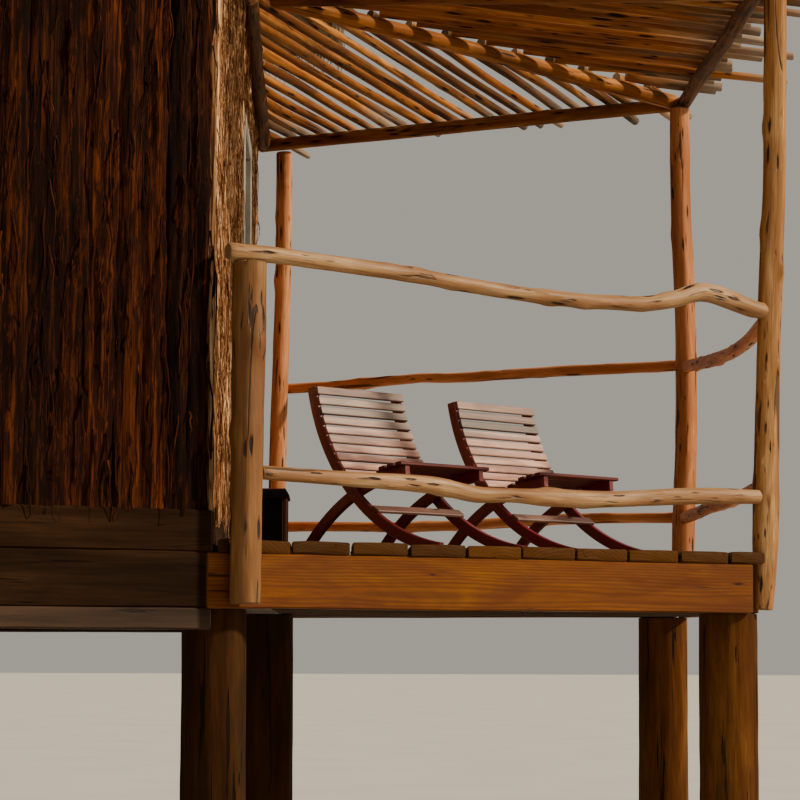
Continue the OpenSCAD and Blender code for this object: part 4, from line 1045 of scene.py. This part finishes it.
def make_chair(i, name):
    rng = np.random.default_rng(31 + i)
    place = (Matrix.Translation((*FIRST_CHAIR, DECK_Z)) @ turned(-45)
             @ Matrix.Translation((-i * CHAIR_BACK_OFF, i * CHAIR_STEP, 0)))
    sides, slats, seat, bolts = Heap(), Heap(), Heap(), Heap()
    back_top = angle_of(BACK_MIDDLE, 0, CHAIR_H) % (2 * pi)
    back_foot = angle_of(BACK_MIDDLE, CHAIR_FOOT, -0.004) % (2 * pi)
    seat_top = angle_of(SEAT_MIDDLE, *SEAT_FRONT)
    seat_foot = angle_of(SEAT_MIDDLE, SEAT_FOOT[0], -0.004)
    inner = MEMBER_T + 0.001
    for y in (0, CHAIR_W - MEMBER_T):
        arc_member(sides, place, BACK_MIDDLE, (back_top, back_foot), y, rng)
    for y in (inner, CHAIR_W - inner - MEMBER_T):
        arc_member(sides, place, SEAT_MIDDLE, (seat_top, seat_foot), y, rng)
    back_r = ARC_R - MEMBER_W / 2 - SLAT_T / 2 + SLAT_SINK
    seat_r = ARC_R + MEMBER_W / 2 + SLAT_T / 2 - SLAT_SINK
    whole = (0, CHAIR_W)
    # The slats' tones, darkest near the top, are painted shade across the back
    for j, tone in enumerate((0.42, 0.3, 0.0 if i else 0.08, 0.45, 0.75, 0.7, 0.9, 0.85, 1.0, 0.95)):
        angle = back_top + (SLAT_W / 2 + 0.002 + j * SLAT_STEP) / ARC_R
        arc_slat(slats, place, BACK_MIDDLE, angle, back_r, whole, tone, rng)
    angle = back_top + LOW_SLAT / ARC_R
    arc_slat(slats, place, BACK_MIDDLE, angle, back_r, whole, 0.3, rng, LOW_SLAT_W)
    # The front slats of the seat reach past its sides, the rear ones stay between them
    for j in range(6):
        angle = seat_top + (SLAT_W / 2 - SEAT_REACH + j * SLAT_STEP) / ARC_R
        end = -SEAT_REACH if j < 3 else inner
        arc_slat(seat, place, SEAT_MIDDLE, angle, seat_r, (end, CHAIR_W - end), rng.uniform(), rng)
    x, z = FRAMES_CROSS
    for y, way in ((0, -1), (CHAIR_W, 1)):
        bolt(bolts, place, x, y, z, way, rng)
    sides.piece(name + "_sides", CHAIR_FRAME, "chair_wood", [name + "_back_frame", name + "_seat_frame"])
    slats.piece(name + "_back_slats", CHAIR_SLAT_PAINTED_SHADE, "chair_wood")
    seat.piece(name + "_seat_slats", SEAT_SLAT, "chair_wood")
    bolts.piece(name + "_bolts", IRON, "chair_wood")


# Box

def make_box():
    rng = np.random.default_rng(41)
    lo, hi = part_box("lidded_box")
    t = 0.016
    heap = Heap()
    straight, across = Matrix.Identity(4), turned(90)
    look = dict(bevel=0.003, wave=0)
    for y in (lo.y, hi.y - t):
        board(heap, straight, (lo.x + t, y, lo.z), (hi.x - t, y + t, hi.z), rng, **look)
    for x in (lo.x, hi.x - t):
        board(heap, across, (lo.y, -x - t, lo.z), (hi.y, -x, hi.z), rng, **look)
    board(heap, straight, (lo.x + t, lo.y + t, lo.z), (hi.x - t, hi.y - t, lo.z + t), rng, **look)
    heap.piece("box_boards", BOX_WOOD, "box_wood", ["lidded_box"])
    lo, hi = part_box("box_lid")
    heap = Heap()
    slope, lip, bevel = 0.014, 0.013, 0.003
    sections = []
    for inset, z in ((bevel, lo.z + 0.0005), (0, lo.z + bevel), (0, lo.z + lip), (slope, hi.z - bevel),
                     (slope + bevel, hi.z)):
        x0, x1, y0, y1 = lo.x + inset, hi.x - inset, lo.y + inset, hi.y - inset
        sections.append([[x0, y0, z], [x1, y0, z], [x1, y1, z], [x0, y1, z]])
    lid = np.array(sections)[None]
    heap.sweep(lid, lid[..., [1, 0, 2]], 0.9)
    heap.piece("box_lid_board", BOX_WOOD, "box_wood", ["box_lid"])


# Nails

def make_nails():
    """Two nail heads over each joist on every deck board but the one at the door line."""
    rng = np.random.default_rng(43)
    heap = Heap()
    in_board, in_veranda = 0.035, 0.05
    a = circle(8)
    radius = np.array([[0.004], [0.0036]])
    z = np.repeat([[DECK_Z - 0.002], [DECK_Z + 0.0032]], 8, 1)
    joists = sorted(set(round(float(p[:, 1].mean()), 3) for p in solids("veranda_joists")))
    for points in solids("deck_boards"):
        lo, hi = points.min(0), points.max(0)
        if lo[0] < 0.06:
            continue
        for joist in joists:
            if abs(joist) > SIDE - hi[0] * TAN30 - in_veranda:
                continue
            for row in (lo[0] + in_board, hi[0] - in_board):
                x, y = row + rng.uniform(-0.006, 0.006), joist + rng.uniform(-0.01, 0.01)
                local = np.stack([x + radius * np.cos(a), y + radius * np.sin(a), z], -1)[None]
                heap.sweep(local, local, rng.uniform())
    heap.piece("deck_nails", IRON, "deck_wood")


# Camera, light and floor

FOCAL_PX = 2663.24
FRAME_PX = 800
EYE = Vector((0.2959, -11.6778, 1.7587))
YAW, PITCH, ROLL = 0.0243, 0.0892, 0.0034


def make_camera():
    data = bpy.data.cameras.new("camera")
    data.sensor_width = 36
    data.lens = FOCAL_PX / FRAME_PX * data.sensor_width
    data.clip_end = 300
    # The camera looks along its own -Z
    camera = add("camera", data)
    camera.matrix_world = (Matrix.Translation(EYE) @ Matrix.Rotation(-YAW, 4, "Z")
                           @ Matrix.Rotation(pi / 2 + PITCH, 4, "X") @ Matrix.Rotation(ROLL, 4, "Z"))
    bpy.context.scene.camera = camera


def make_lamp(kind, name, at, toward, energy, colour):
    """A light that points from one place toward another. Gives its data."""
    data = bpy.data.lights.new(name, kind)
    data.energy = energy
    data.color = colour
    lamp = add(name, data)
    lamp.location = at
    lamp.rotation_euler = (Vector(toward) - lamp.location).to_track_quat("-Z", "Y").to_euler()
    return data


def make_light():
    sun = make_lamp("SUN", "key", (12, -2.0, 9.5), (0, 0, 1.5), 6.0, (1.0, 0.84, 0.6))
    sun.angle = radians(4)
    soft = make_lamp("AREA", "soft", (5, -13, 5), (0.5, 0, 2.5), 110, (1.0, 0.88, 0.7))
    soft.size = 8
    world = bpy.data.worlds.new("studio")
    world.use_nodes = True
    background = world.node_tree.nodes["Background"]
    background.inputs[0].default_value = (1.0, 0.94, 0.83, 1)
    background.inputs[1].default_value = 0.4
    bpy.context.scene.world = world


def make_ground():
    mesh = bpy.data.meshes.new("floor")
    r = 120
    mesh.from_pydata([(-r, -r, 0), (r, -r, 0), (r, r, 0), (-r, r, 0)], [], [(0, 1, 2, 3)])
    p = Paint("studio_floor", 0.1)
    speckle = p.noise(p.add("TexCoord", {}, "Object"), 0.6, 0.6, 3, 0.5)
    colour = p.ramp(speckle, (0.3, (0.5, 0.49, 0.46)), (0.7, (0.54, 0.53, 0.5)))
    mesh.materials.append(p.finish(colour, 0.9, speckle, 0.0005))
    add("floor", mesh)


make_camera()
make_light()
make_ground()
make_stilts()
make_floor()
make_walls()
make_door_frame()
make_roof_frame()
make_pole_roofs()
make_thatch()
make_railing()
make_chair(0, "left_chair")
make_chair(1, "right_chair")
make_box()
make_nails()
